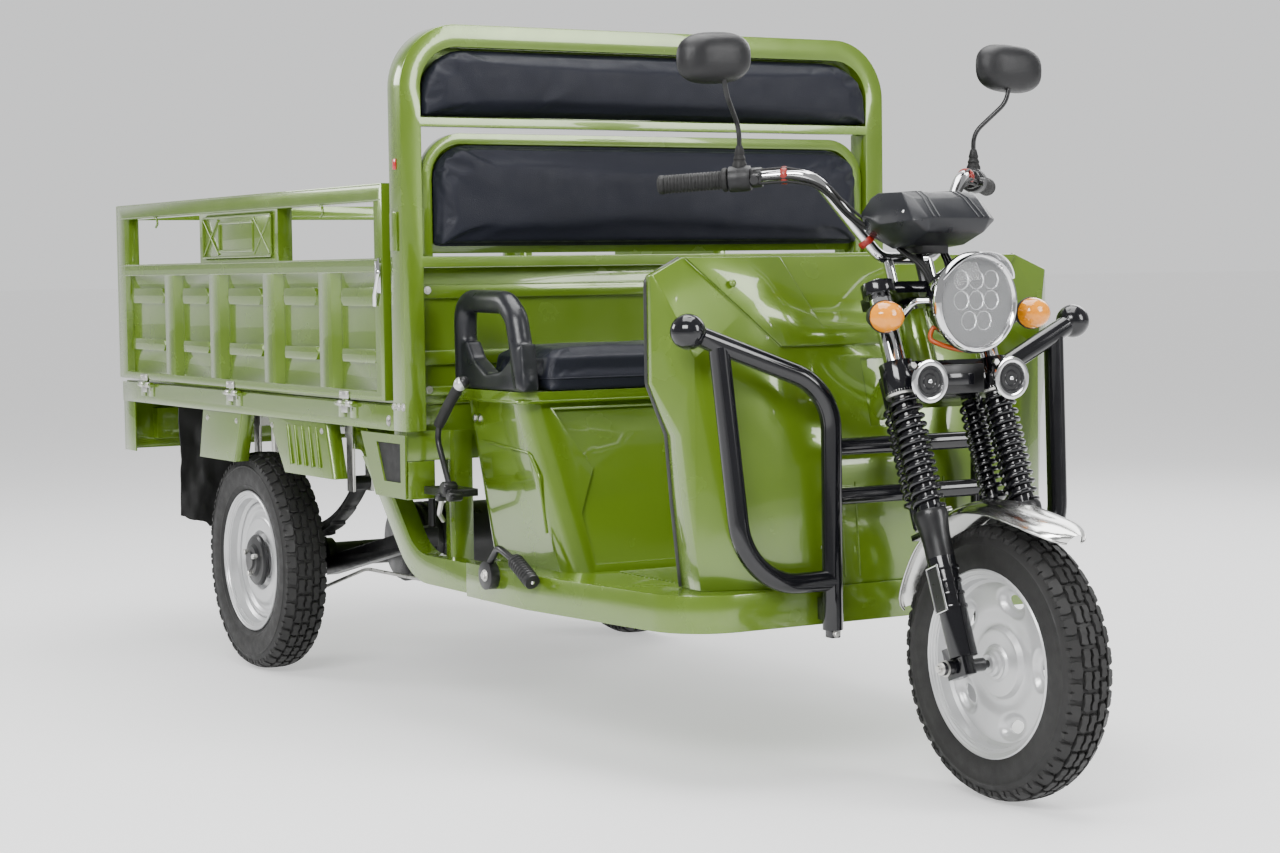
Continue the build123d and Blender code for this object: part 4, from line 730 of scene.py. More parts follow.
@dataclass
class Wheel:
    """Pressed-steel wheel: drop-centre rim, dished disc, hub and nuts."""

    name: str
    centre: Point
    outside: int
    body: Body
    node: str
    style: DiscStyle
    cap_node: str = ""
    windows: int = 5

    def rim(self) -> bpy.types.Object:
        """Turned drop-centre rim with rolled flanges."""
        half = [(0.1675, 0.0405), (0.1668, 0.0440), (0.1640, 0.0462), (0.1610, 0.0445), (0.1585, 0.0390),
                (0.1530, 0.0375), (0.1515, 0.0280), (0.1500, 0.0200), (0.1430, 0.0140), (0.1425, 0.0)]
        inner = [(r - 0.0032, y * 0.93) for r, y in half[2:]]
        loop = half + [(r, -y) for r, y in reversed(half[:-1])]
        loop += [(r, -y) for r, y in inner] + list(reversed(inner[:-1])) + [half[0]]
        return Workshop.lathe(f"{self.name}_rim", loop, self.centre, (0, 1, 0), 96)

    def dish(self, radius: float, angle: float) -> float:
        """How far the disc stands outward at a radius and an angle."""
        def ramp(value: float, low: float, high: float) -> float:
            share = min(1.0, max(0.0, (value - low) / (high - low)))
            return share * share * (3 - 2 * share)

        if self.style is DiscStyle.STEPPED:
            return (0.004 + 0.012 * ramp(radius, 0.062, 0.072) - 0.010 * ramp(radius, 0.100, 0.112)
                    + 0.007 * ramp(radius, 0.120, 0.128) - 0.006 * ramp(radius, 0.134, 0.142))
        height = 0.026 - 0.006 * ramp(radius, 0.028, 0.034) - 0.010 * ramp(radius, 0.058, 0.066)
        height += 0.004 * ramp(radius, 0.070, 0.100)
        part = 2 * math.pi / self.windows
        turned = (angle + part / 2) % part - part / 2
        across, out = turned * 0.110, radius - 0.114
        share = math.sqrt((across / 0.036) ** 2 + (out / 0.024) ** 2)
        height -= 0.011 * (1 - ramp(share, 0.62, 1.05))
        return height

    def disc(self) -> bpy.types.Object:
        """Dished disc with its windows, 3 mm thick."""
        build = bmesh.new()
        bore, edge, rows, steps = 0.016, 0.1425, 44, 160
        rings = []
        for number in range(rows + 1):
            radius = bore + (edge - bore) * number / rows
            ring = []
            for step in range(steps):
                angle = 2 * math.pi * step / steps
                out = self.dish(radius, angle) * self.outside
                ring.append(build.verts.new((radius * math.cos(angle), out, radius * math.sin(angle))))
            rings.append(ring)
        Workshop.skin(build, rings)
        made = Workshop.mesh_object(f"{self.name}_disc", build)
        made.matrix_world = Matrix.Translation(self.centre)
        thick = made.modifiers.new("thick", "SOLIDIFY")
        thick.thickness = 0.003
        Workshop.bake(made)
        if self.style is DiscStyle.WINDOWS:
            self._cut_windows(made)
        return made

    def _cut_windows(self, disc: bpy.types.Object) -> None:
        """Cut one oval window through each dimple."""
        build = bmesh.new()
        for number in range(self.windows):
            angle = 2 * math.pi * number / self.windows
            out = Vector((math.cos(angle), 0, math.sin(angle)))
            side = Vector((-math.sin(angle), 0, math.cos(angle)))
            rows = []
            steps = 28
            for depth in (-0.05, 0.05):
                row = []
                for step in range(steps):
                    t = 2 * math.pi * step / steps
                    swell = 1 - 0.12 * math.cos(2 * t)
                    spot = Vector(self.centre) + out * (0.1155 + 0.0105 * math.sin(t) * swell)
                    spot += side * 0.0195 * math.cos(t) + Vector((0, depth, 0))
                    row.append(build.verts.new(spot))
                rows.append(row)
            Workshop.skin(build, rows, ends=True)
        cutter = Workshop.mesh_object("window_cutter", build)
        cut = disc.modifiers.new("windows", "BOOLEAN")
        cut.operation, cut.solver, cut.object = "DIFFERENCE", "EXACT", cutter
        Workshop.bake(disc)
        bpy.data.objects.remove(cutter)

    def hub(self) -> bpy.types.Object:
        """Turned hub barrel through the disc, on both sides."""
        if self.style is DiscStyle.STEPPED:
            line = [(0.0, 0.018), (0.012, 0.018), (0.030, 0.010), (0.044, 0.006), (0.046, 0.0), (0.046, -0.034),
                    (0.0, -0.034)]
        else:
            line = [(0.0, 0.040), (0.016, 0.040), (0.017, 0.036), (0.022, 0.034), (0.024, 0.028), (0.029, 0.027),
                    (0.031, 0.020), (0.040, 0.018), (0.042, -0.024), (0.034, -0.034), (0.017, -0.038), (0.0, -0.038)]
        return Workshop.lathe(f"{self.name}_hub", line, self.centre, (0, self.outside, 0), 48)

    def cap(self) -> bpy.types.Object:
        """Black cap with a raised ring, three studs and their nuts."""
        face = 0.046
        line = [(0.0, face), (0.020, face), (0.023, face - 0.004), (0.034, face - 0.005), (0.040, face - 0.012),
                (0.056, face - 0.014), (0.0605, face - 0.018), (0.062, face - 0.024), (0.0, face - 0.024)]
        outward, bolt_circle = (0, self.outside, 0), 0.031
        nuts = [Workshop.turned(f"{self.name}_cap", line, self.centre, outward, 56, BLACK_SATIN)]
        line = [(0, face + 0.004), (0.0055, face + 0.004), (0.007, face + 0.002), (0.007, face - 0.008),
                (0, face - 0.008)]
        for number in range(3):
            angle = 2 * math.pi * number / 3 + 0.4
            spot = Vector(self.centre) + Vector((math.cos(angle), 0, math.sin(angle))) * bolt_circle
            nuts.append(Workshop.turned("nut", line, tuple(spot), outward, 6, ZINC))
        return Workshop.join(f"{self.name}_hub_cap", nuts)

    def build(self) -> set[str]:
        """Make the wheel and return the nodes it stands for."""
        done = {self.node}
        rim, disc, hub = self.rim(), self.disc(), self.hub()
        for piece in (rim, disc, hub):
            piece.data.materials.clear()
            piece.data.materials.append(SILVER.material())
        Workshop.finish_piece(disc, SILVER, self.body, 40)
        Workshop.finish_piece(hub, SILVER, self.body, 30)
        Workshop.finish_piece(rim, SILVER, self.body, 30, (self.node,))
        if self.cap_node:
            Workshop.finish_piece(self.cap(), BLACK_SATIN, self.body, 30, (self.cap_node,))
            done.add(self.cap_node)
        return done


@dataclass
class CoilSpring:
    """Helical spring on the line of the fork, between two heights."""

    name: str
    ahead: float
    across: float
    low: float
    high: float
    coil_radius: float
    wire: float
    turns: float
    finish: Finish = BLACK_GLOSS

    def build(self) -> bpy.types.Object:
        """Sweep the wire along its helix, its coils spaced a little wider at the ends than in the middle."""
        steps = int(self.turns * 20)
        rise = self.high - self.low - 2 * self.wire
        line = []
        for step in range(steps + 1):
            share = step / steps
            eased = share + 0.018 * math.sin(2 * math.pi * share)
            angle = 2 * math.pi * self.turns * share
            ahead = self.ahead + self.coil_radius * math.cos(angle)
            across = self.across + self.coil_radius * math.sin(angle)
            line.append(tuple(steer(ahead, across, self.low + self.wire + rise * eased)))
        made = Workshop.pipe(self.name, line, self.wire, sides=6)
        return Workshop.finish_piece(made, self.finish, Body.STEERING, 60)


@dataclass
class FrontFork:
    """Springs, dampers, collars, slider plates and fasteners of the fork."""

    spring_low: float = 0.524
    spring_high: float = 0.742
    damper_half: float = 0.086

    def _along(self, name: str, ahead: float, across: float, profile: list[tuple[float, float]], finish: Finish,
               steps: int = 40) -> bpy.types.Object:
        """Turn a profile about a line parallel to the steering axis."""
        axis = steer(0, 0, 1) - steer(0, 0, 0)
        made = Workshop.lathe(name, profile, tuple(steer(ahead, across, 0)), tuple(axis), steps)
        return Workshop.finish_piece(made, finish, Body.STEERING, 35)

    def _reflector_plate(self, side: int) -> None:
        """Clamped plate with a bright edge and three straps on one slider."""
        across = side * FORK_HALF
        inside, outside = 0.0235, 0.0275
        front, back, low, high, margin = 0.020, -0.012, 0.344, 0.424, 0.002
        strips = []
        for first, last in (((front, low), (front, high)), ((front, high), (back, high)),
                            ((front, low), (back, low)), ((back, low), (back, high))):
            points = [tuple(steer(FORK_AHEAD + a, across + side * outside, h)) for a, h in (first, last)]
            strips.append(Workshop.paint(Workshop.pipe("edge", points, 0.0018), CHROME))
        corners = [steer(FORK_AHEAD + a, across + side * inside, h)
                   for a, h in ((front - 0.001, low + margin), (front - 0.001, high - margin),
                                (back + 0.001, high - margin), (back + 0.001, low + margin))]
        plate = Workshop.paint(sheet_box("plate", corners, Vector((0, side * (outside - inside), 0))), BLACK_SATIN)
        joined = Workshop.join(f"slider_plate_{hand(side)}", [plate, *strips])
        Workshop.finish_piece(joined, BLACK_SATIN, Body.STEERING)
        for level in (0.349, 0.372, 0.395, 0.419):
            line = [(radius, level + rise) for radius, rise in (
                (0.0242, -0.003), (0.0272, -0.003), (0.0278, 0), (0.0272, 0.003), (0.0242, 0.003), (0.0242, -0.003))]
            self._along(f"slider_strap_{level}_{side}", FORK_AHEAD, across, line, BLACK_GLOSS)

    def build(self) -> set[str]:
        """Make the fork's pieces and return the nodes they stand for."""
        for side in (1, -1):
            label, leg, damper = hand(side), (FORK_AHEAD, side * FORK_HALF), (0.0, side * self.damper_half)
            spring = CoilSpring(f"fork_spring_{label}", *leg, self.spring_low, self.spring_high, 0.0262, 0.0048,
                                13.5).build()
            inner = CoilSpring(f"damper_spring_{label}", *damper, 0.556, 0.736, 0.0198, 0.0040, 12).build()
            if side > 0:
                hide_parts("fork_springs")
                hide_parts("inner_dampers")
            self._along(f"dust_sleeve_{label}", *leg,
                        [(0.0, 0.5248), (0.0212, 0.5248), (0.0212, 0.742), (0.0, 0.742)], BLACK_GLOSS)
            self._along(f"spring_seat_{label}", *leg,
                        [(0.020, 0.738), (0.029, 0.738), (0.031, 0.741), (0.031, 0.7465), (0.028, 0.749),
                         (0.020, 0.749), (0.020, 0.738)], ZINC)
            self._along(f"slider_collar_{label}", *leg,
                        [(0.0, 0.5255), (0.029, 0.5255), (0.0305, 0.522), (0.0305, 0.514), (0.0292, 0.506),
                         (0.0262, 0.486), (0.0254, 0.470), (0.0251, 0.440), (0.0, 0.440)], BLACK_SATIN)
            self._along(f"damper_rod_{label}", *damper,
                        [(0.0, 0.506), (0.014, 0.506), (0.0165, 0.512), (0.0165, 0.548), (0.024, 0.552),
                         (0.024, 0.557), (0.012, 0.558), (0.012, 0.730), (0.016, 0.733), (0.016, 0.741),
                         (0.0, 0.741)], BLACK_GLOSS)
            self._along(f"fork_cap_{label}", *leg,
                        [(0.0, 0.9545), (0.011, 0.9545), (0.0125, 0.953), (0.0125, 0.947), (0.020, 0.9455),
                         (0.0215, 0.943), (0.0215, 0.936), (0.0, 0.936)], CHROME, 48)
            for level in (0.757, 0.785):
                self._clamp_bolt(f"clamp_bolt_{label}_{level}", side, level)
            self._reflector_plate(side)
            self._axle_nut(side)
        return {"fork_springs", "inner_dampers"}

    def _clamp_bolt(self, name: str, side: int, level: float) -> None:
        """Hexagon bolt across the lower clamp's ear."""
        foot = steer(FORK_AHEAD + 0.031, side * (FORK_HALF - 0.012), level)
        made = Workshop.lathe(name, [(0, 0.006), (0.0055, 0.006), (0.0068, 0.0045), (0.0068, -0.003), (0, -0.003)],
                              tuple(foot), tuple(steer(1, 0, 0) - steer(0, 0, 0)), 6)
        Workshop.finish_piece(made, ZINC, Body.STEERING, 25)

    def _axle_nut(self, side: int) -> None:
        """Spindle thread, washer and nut outside the slider's foot."""
        spot = (FRONT_AXLE.x, side * 0.1, FRONT_AXLE.z)
        line = [(0.0, 0.0498), (0.0058, 0.0498), (0.0064, 0.048), (0.0064, 0.0435), (0.0105, 0.0435),
                (0.0118, 0.0415), (0.0118, 0.034), (0.015, 0.0335), (0.015, 0.0315), (0.0, 0.0315)]
        nut = Workshop.lathe(f"front_axle_nut_{side}", line, spot, (0, side, 0), 12)
        Workshop.finish_piece(nut, ZINC, Body.STEERING, 25)


@dataclass
class Headlamp:
    """Round lamp: black bowl, bright ring with a peak, cells of light and a clear lens."""

    centre: Point = (fwd(2.107), 0.0, 0.875)
    radius: float = 0.088
    cell_pitch: float = 0.036

    def _turn(self, name: str, line: list[tuple[float, float]], finish: Finish, steps: int = 72) -> bpy.types.Object:
        """Part turned about the lamp's own line of sight."""
        return Workshop.turned(name, line, self.centre, (1, 0, 0), steps, finish)

    def _peak(self) -> bpy.types.Object:
        """Bright peak over the top of the ring."""
        build = bmesh.new()
        rows = []
        for step in range(37):
            angle = math.radians(-62 + 124 * step / 36)
            share = math.cos(math.radians(90) * (step / 18 - 1)) ** 0.8 if step not in (0, 36) else 0.0
            row = []
            for radius, reach in ((0.0865, -0.004), (0.0895, 0.004 + 0.026 * share),
                                  (0.0872, 0.003 + 0.0245 * share), (0.0835, -0.004)):
                shift = Vector((reach, radius * math.sin(angle), radius * math.cos(angle)))
                row.append(build.verts.new(Vector(self.centre) + shift))
            rows.append(row)
        Workshop.skin(build, rows, ends=True)
        return Workshop.paint(Workshop.mesh_object("peak", build), CHROME)

    def _cells(self) -> list[bpy.types.Object]:
        """Rows of small bright cups, each with its chip of light."""
        cup = [(0.0, -0.005), (0.0050, -0.0045), (0.0110, 0.000), (0.0168, 0.0088), (0.0176, 0.0088),
               (0.0176, 0.0060), (0.0120, -0.005), (0.0, -0.007)]
        chip = [(0.0, 0.0), (0.0036, -0.001), (0.0042, -0.0036), (0.0, -0.0036)]
        cells = []
        for row, shifts in ((-1, (-0.5, 0.5)), (0, (-1, 0, 1)), (1, (-1, 0, 1))):
            for shift in shifts:
                spot = (self.centre[0] - 0.013, shift * self.cell_pitch * 0.92,
                        self.centre[2] + row * self.cell_pitch + 0.004)
                cells.append(Workshop.turned("cup", cup, spot, (1, 0, 0), 9, REFLECTOR))
                cells.append(Workshop.turned("chip", chip, spot, (1, 0, 0), 14, LED_YELLOW))
        return cells

    def build(self) -> set[str]:
        """Make the lamp and return its node."""
        bowl = self._turn("headlamp_bowl", [(0.0, -0.096), (0.020, -0.0955), (0.046, -0.086), (0.066, -0.066),
                                            (0.078, -0.034), (0.0815, -0.010), (0.080, -0.006), (0.0, -0.006)],
                          BLACK_GLOSS)
        Workshop.finish_piece(bowl, BLACK_GLOSS, Body.STEERING)
        ring = self._turn("ring", [(0.0785, -0.016), (0.0870, -0.018), (0.0905, -0.011), (0.0900, -0.004),
                                   (0.0868, 0.0015), (0.0825, 0.003), (0.0790, 0.0), (0.0775, -0.006),
                                   (0.0785, -0.016)], CHROME)
        trim = Workshop.join("headlamp_ring", [ring, self._peak()])
        Workshop.finish_piece(trim, CHROME, Body.STEERING, 40, ("headlamp",))
        plate = self._turn("plate", [(0.0, -0.0185), (0.056, -0.0175), (0.0775, -0.006), (0.0775, -0.0085),
                                     (0.056, -0.020), (0.0, -0.0205)], REFLECTOR, 26)
        cells = Workshop.join("headlamp_cells", [plate, *self._cells()])
        Workshop.finish_piece(cells, REFLECTOR, Body.STEERING, 8)
        glass = self._turn("headlamp_lens", [(0.0, 0.0035), (0.040, 0.0022), (0.070, -0.0010), (0.0782, -0.0035),
                                             (0.0782, -0.0055), (0.070, -0.0032), (0.040, 0.0), (0.0, 0.0012)],
                           CLEAR_LENS)
        Workshop.finish_piece(glass, CLEAR_LENS, Body.STEERING, 40)
        face, arm_height = self.centre[0], self.centre[2] + 0.004
        for side in (1, -1):
            route = [(face - 0.05, side * 0.070, arm_height), (face - 0.066, side * 0.088, arm_height),
                     tuple(steer(FORK_AHEAD, side * 0.092, 0.868))]
            arm = Workshop.pipe(f"headlamp_arm_{side}", route, 0.006, 0.02)
            Workshop.finish_piece(arm, CHROME, Body.STEERING)
        route = [(face + x, y, z) for x, y, z in (
            (-0.070, -0.040, 0.838), (-0.080, -0.055, 0.812), (-0.055, -0.04, 0.800), (-0.046, 0.0, 0.789),
            (-0.052, 0.032, 0.792), (-0.07, 0.046, 0.802), (-0.066, 0.038, 0.838))]
        wire = Workshop.pipe("headlamp_wire", route, 0.0045, smooth_line=True)
        Workshop.finish_piece(wire, ORANGE_WIRE, Body.STEERING)
        return {"headlamp"}


@dataclass
class Horn:
    """Small round horn with a bright ring, a sounding disc and a centre rivet."""

    side: int
    centre: tuple[float, float] = (fwd(2.088), 0.738)
    across: float = 0.091

    def build(self) -> bpy.types.Object:
        """Turn the horn's parts and join them."""
        spot = (self.centre[0], self.side * self.across, self.centre[1])
        parts = (
            ([(0.0, -0.022), (0.022, -0.022), (0.030, -0.016), (0.034, -0.006), (0.034, -0.002), (0.0, -0.002)],
             BLACK_SATIN),
            ([(0.0275, -0.006), (0.0375, -0.006), (0.0390, -0.003), (0.0380, 0.0005), (0.0330, 0.0018),
              (0.0285, 0.0005), (0.0270, -0.003), (0.0275, -0.006)], CHROME),
            ([(0.0, -0.0005), (0.004, -0.0005), (0.0055, -0.003), (0.011, -0.003), (0.0125, -0.001), (0.0145, -0.001),
              (0.016, -0.0035), (0.020, -0.0035), (0.0215, -0.0015), (0.0235, -0.0015), (0.0255, -0.0045),
              (0.0280, -0.0045), (0.0280, -0.007), (0.0, -0.007)], BLACK_GLOSS),
            ([(0.0, 0.0018), (0.0032, 0.0012), (0.0042, -0.0008), (0.0, -0.0008)], CHROME),
        )
        pieces = [Workshop.turned("horn_part", line, spot, (1, 0, 0), 44, finish) for line, finish in parts]
        whole = Workshop.join(f"horn_{hand(self.side)}", pieces)
        return Workshop.finish_piece(whole, BLACK_SATIN, Body.STEERING, 32)


@dataclass
class TurnSignal:
    """Oval amber lamp on a bright stay."""

    side: int
    centre: tuple[float, float] = (fwd(2.052), 0.853)
    across: float = 0.164

    def build(self) -> None:
        """Make the lamp's housing, ribbed lens and stay."""
        label = hand(self.side)
        spot = Vector((self.centre[0], self.side * self.across, self.centre[1]))
        flatten = Matrix.Translation(spot) @ Matrix.Diagonal((1, 1, 0.83, 1)) @ Matrix.Translation(-spot)
        back = [(0.0, -0.034), (0.012, -0.033), (0.024, -0.022), (0.0335, -0.004), (0.0352, 0.0), (0.0352, 0.004),
                (0.0, 0.004)]
        lens = [(0.0, 0.0335), (0.008, 0.033), (0.016, 0.031), (0.023, 0.0272), (0.029, 0.0205), (0.0328, 0.011),
                (0.0338, 0.004), (0.0, 0.004)]
        for name, line, finish, angle in (("housing", back, PLASTIC, 40), ("lens", lens, AMBER, 50)):
            part = Workshop.lathe(f"signal_{name}_{label}", line, tuple(spot), (1, 0, 0), 44)
            part.data.transform(flatten)
            Workshop.finish_piece(part, finish, Body.STEERING, angle)
        inner = steer(FORK_AHEAD, self.side * 0.112, 0.885)
        corners = [inner + Vector((0.006, 0, 0.016)), inner + Vector((0.010, self.side * 0.004, -0.052)),
                   spot + Vector((-0.026, -self.side * 0.004, -0.010)), spot + Vector((-0.026, 0, 0.010))]
        stay = sheet_box(f"signal_stay_{label}", corners, Vector((0.0025, 0, 0)))
        Workshop.finish_piece(stay, CHROME, Body.STEERING)


@dataclass
class Mirror:
    """Mirror with a rounded shell, its glass, a bent stem and a boot."""

    side: int
    centre: tuple[float, float, float] = (fwd(1.783), 0.337, 1.320)
    half: tuple[float, float] = (0.0765, 0.0465)
    squareness: float = 2 / 2.7

    def _ring(self, share: float, reach: float) -> list[Vector]:
        """Points of the mirror's outline, drawn in by a share, at a distance ahead of the glass."""
        points = []
        for step in range(40):
            t = 2 * math.pi * step / 40
            c, s = math.cos(t), math.sin(t)
            wide = self.half[0] * share * math.copysign(abs(c) ** self.squareness, c)
            tall = self.half[1] * share * math.copysign(abs(s) ** self.squareness, s) - 0.05 * wide
            points.append(Vector((self.centre[0] - 0.012 + reach, self.side * (self.centre[1] + wide),
                                  self.centre[2] + tall)))
        return points

    def _skin(self, name: str, levels: list[tuple[float, float]]) -> bpy.types.Object:
        """Skin over outline rings, closed at both ends."""
        build = bmesh.new()
        rings = [[build.verts.new(p) for p in self._ring(share, reach)] for share, reach in levels]
        Workshop.skin(build, rings, ends=True)
        return Workshop.mesh_object(name, build)

    def build(self, foot: Point) -> bpy.types.Object:
        """Make the mirror on its stem.

        Args:
            foot: where the stem's foot stands.

        Returns:
            The shell.
        """
        label = hand(self.side)
        shell = self._skin(f"mirror_shell_{label}", [
            (0.93, 0.003), (0.95, 0.0), (0.985, -0.0015), (1.0, 0.002), (0.99, 0.008), (0.94, 0.017), (0.84, 0.026),
            (0.66, 0.033), (0.42, 0.037), (0.18, 0.0385)])
        glass = self._skin(f"mirror_glass_{label}", [(0.9201, 0.0012), (0.92, 0.0035)])
        Workshop.finish_piece(shell, PLASTIC, Body.STEERING, 40)
        Workshop.finish_piece(glass, MIRROR_GLASS, Body.STEERING, 40)
        top = (self.centre[0] + 0.010, self.side * (self.centre[1] - 0.006), self.centre[2] - 0.012)
        line = [foot, (foot[0], foot[1], foot[2] + 0.065),
                (top[0] - 0.004, top[1] - self.side * 0.012, top[2] - 0.055), top]
        stem = Workshop.pipe(f"mirror_stem_{label}", line, 0.0045, 0.05)
        Workshop.finish_piece(stem, BLACK_SATIN, Body.STEERING)
        line = [(0, 0.034), (0.006, 0.034), (0.0075, 0.028), (0.0095, 0.020), (0.0085, 0.017), (0.0115, 0.010),
                (0.0105, 0.007), (0.0135, 0.0), (0.0135, -0.006), (0, -0.006)]
        boot = Workshop.lathe(f"mirror_boot_{label}", line, foot, (0, 0, 1), 28)
        Workshop.finish_piece(boot, RUBBER, Body.STEERING, 40)
        line = [(0, 0.014), (0.007, 0.012), (0.0105, 0.004), (0.0105, -0.004), (0.007, -0.012), (0, -0.014)]
        joint = Workshop.lathe(f"mirror_joint_{label}", line, top, (0, 0, 1), 24)
        Workshop.finish_piece(joint, PLASTIC, Body.STEERING, 40)
        return shell


@dataclass
class Handlebar:
    """Grips, switch boxes, clamps, cables and clips on the bar."""

    grip_end: Point = (fwd(1.655), 0.378, 1.096)
    bend: Point = (fwd(1.840), 0.170, 1.112)
    clamp: Point = (fwd(1.898), 0.060, 0.955)
    box_middle: float = 0.146

    def _run(self, side: int) -> tuple[Vector, Vector]:
        """Grip end and the direction from it towards the bend, on one side."""
        end = Vector((self.grip_end[0], side * self.grip_end[1], self.grip_end[2]))
        bend = Vector((self.bend[0], side * self.bend[1], self.bend[2]))
        return end, (bend - end).normalized()

    def _grip(self, side: int) -> bpy.types.Object:
        """Ribbed rubber grip with its end flange."""
        end, run = self._run(side)
        line = [(0.0, -0.0065), (0.012, -0.0065), (0.0172, -0.003), (0.0178, 0.002), (0.0172, 0.006)]
        for rib in range(16):
            base = 0.0075 + rib * 0.0065
            line += [(0.0160, base), (0.0172, base + 0.0012), (0.0172, base + 0.0040), (0.0160, base + 0.0052)]
        line += [(0.0168, 0.113), (0.0215, 0.1155), (0.0222, 0.119), (0.0215, 0.1235), (0.0115, 0.124),
                 (0.0115, 0.1), (0.0, 0.1)]
        grip = Workshop.lathe(f"grip_{hand(side)}", line, tuple(end), tuple(run), 40)
        return Workshop.finish_piece(grip, RUBBER, Body.STEERING, 32)

    def _switch_box(self, side: int) -> None:
        """Two-part switch box with its buttons."""
        end, run = self._run(side)
        label = hand(side)
        line = [(0.0, 0.125), (0.019, 0.125), (0.0235, 0.128), (0.0240, 0.140), (0.0236, 0.1455), (0.0242, 0.147),
                (0.0240, 0.160), (0.0225, 0.1665), (0.0180, 0.1685), (0.0, 0.1685)]
        box = Workshop.lathe(f"switch_box_{label}", line, tuple(end), tuple(run), 28)
        Workshop.finish_piece(box, PLASTIC, Body.STEERING, 34)
        middle = end + run * self.box_middle
        line = [(0, 0.0045), (0.0042, 0.0042), (0.0052, 0.002), (0.0052, -0.004), (0, -0.004)]
        pads = []
        for lift, back, finish in ((0.012, -0.019, RED_CLIP), (-0.004, -0.0225, GREY_PLASTIC),
                                   (0.0215, -0.006, GREY_PLASTIC)):
            spot = tuple(middle + Vector((back, 0, lift)))
            pads.append(Workshop.turned("button", line, spot, (back, 0, lift), 18, finish))
        Workshop.finish_piece(Workshop.join(f"switch_buttons_{label}", pads), GREY_PLASTIC, Body.STEERING, 32)

    def _perch(self, side: int) -> None:
        """Clamp with a short arm inboard of the switch box."""
        end, run = self._run(side)
        flat = Vector((0, 0, 1)).cross(run).normalized() * side
        ahead = flat if flat.x > 0 else -flat
        perch = end + run * 0.176
        line = [(0.0112, 0.168), (0.0175, 0.168), (0.0185, 0.170), (0.0185, 0.186), (0.0175, 0.188),
                (0.0112, 0.188), (0.0112, 0.168)]
        collar = Workshop.lathe("perch", line, tuple(end), tuple(run), 28)
        arm = Workshop.pipe("perch_arm", [tuple(perch), tuple(perch + ahead * 0.026 + Vector((0, 0, -0.006)))], 0.008)
        Workshop.finish_piece(Workshop.join(f"bar_clamp_{hand(side)}", [collar, arm]), BLACK_SATIN, Body.STEERING, 40)

    def _cables(self, side: int) -> None:
        """Cables strapped along the bar from the switch box into the back of the headlamp."""
        end, run = self._run(side)
        label = hand(side)
        bend = Vector((self.bend[0], side * self.bend[1], self.bend[2]))
        clamp = Vector((self.clamp[0], side * self.clamp[1], self.clamp[2]))
        for number, (out, drop, thick) in enumerate(((0.016, -0.004, 0.0034), (0.013, -0.011, 0.0030),
                                                     (0.009, 0.013, 0.0026))):
            shift = Vector((out, 0, drop))
            line = [end + run * 0.160 + Vector((0.018, 0, drop)), end + run * 0.195 + shift,
                    bend - run * 0.045 + shift * 1.05, bend + shift * 0.7 + (clamp - bend).normalized() * 0.022,
                    bend + (clamp - bend) * 0.5 + shift * 1.1,
                    clamp + Vector((0.026, -side * 0.004, 0.034)),
                    Vector((fwd(1.950), side * (0.050 - 0.006 * number), 0.964)),
                    Vector((fwd(1.988), side * (0.036 - 0.007 * number), 0.944)),
                    Vector((fwd(2.003), side * (0.024 - 0.006 * number), 0.905)),
                    Vector((fwd(2.020), side * (0.018 - 0.006 * number), 0.882))]
            cable = Workshop.pipe(f"control_cable_{label}_{number}", [tuple(p) for p in line], thick, smooth_line=True)
            Workshop.finish_piece(cable, RUBBER, Body.STEERING, 60)
        line = [(0.0112, -0.006), (0.0150, -0.006), (0.0165, -0.003), (0.0165, 0.003), (0.0150, 0.006),
                (0.0112, 0.006), (0.0112, -0.006)]
        for name, spot, along in (("upper", bend - run * 0.050, run),
                                  ("lower", bend + (clamp - bend) * 0.80, clamp - bend)):
            clip = Workshop.lathe(f"cable_clip_{name}_{label}", line, tuple(spot), tuple(along), 24)
            Workshop.finish_piece(clip, RED_CLIP, Body.STEERING, 40)

    def build(self) -> set[str]:
        """Make everything on the bar and return the nodes it stands for."""
        for side in (1, -1):
            grip = self._grip(side)
            self._switch_box(side)
            self._perch(side)
            self._cables(side)
            end, run = self._run(side)
            boss = end + run * self.box_middle
            shell = Mirror(side).build((boss.x, boss.y, boss.z + 0.026))
            if side > 0:
                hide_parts("grips_and_switches")
                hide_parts("mirrors")
        return {"grips_and_switches", "mirrors"}


class FrontEnd:
    """Lamps, horns and signals of the fork."""

    @staticmethod
    def build() -> set[str]:
        """Make them and return the nodes they stand for."""
        done = FrontFork().build() | Headlamp().build() | Handlebar().build()
        horns = [Horn(side).build() for side in (1, -1)]
        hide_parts("horns")
        for side in (1, -1):
            TurnSignal(side).build()
        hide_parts("turn_signals")
        plate = Workshop.block("horn_bracket", (fwd(2.040), -0.062, 0.712), (fwd(2.0455), 0.062, 0.764), 0.002)
        Workshop.finish_piece(plate, BLACK_SATIN, Body.STEERING)
        return done | {"horns", "turn_signals"}


@dataclass(frozen=True)
class Fold:
    """A fan of folds that runs out from a point of a pad's face."""

    at: tuple[float, float]
    heading: float
    depth: float
    spacing: float
    reach: float


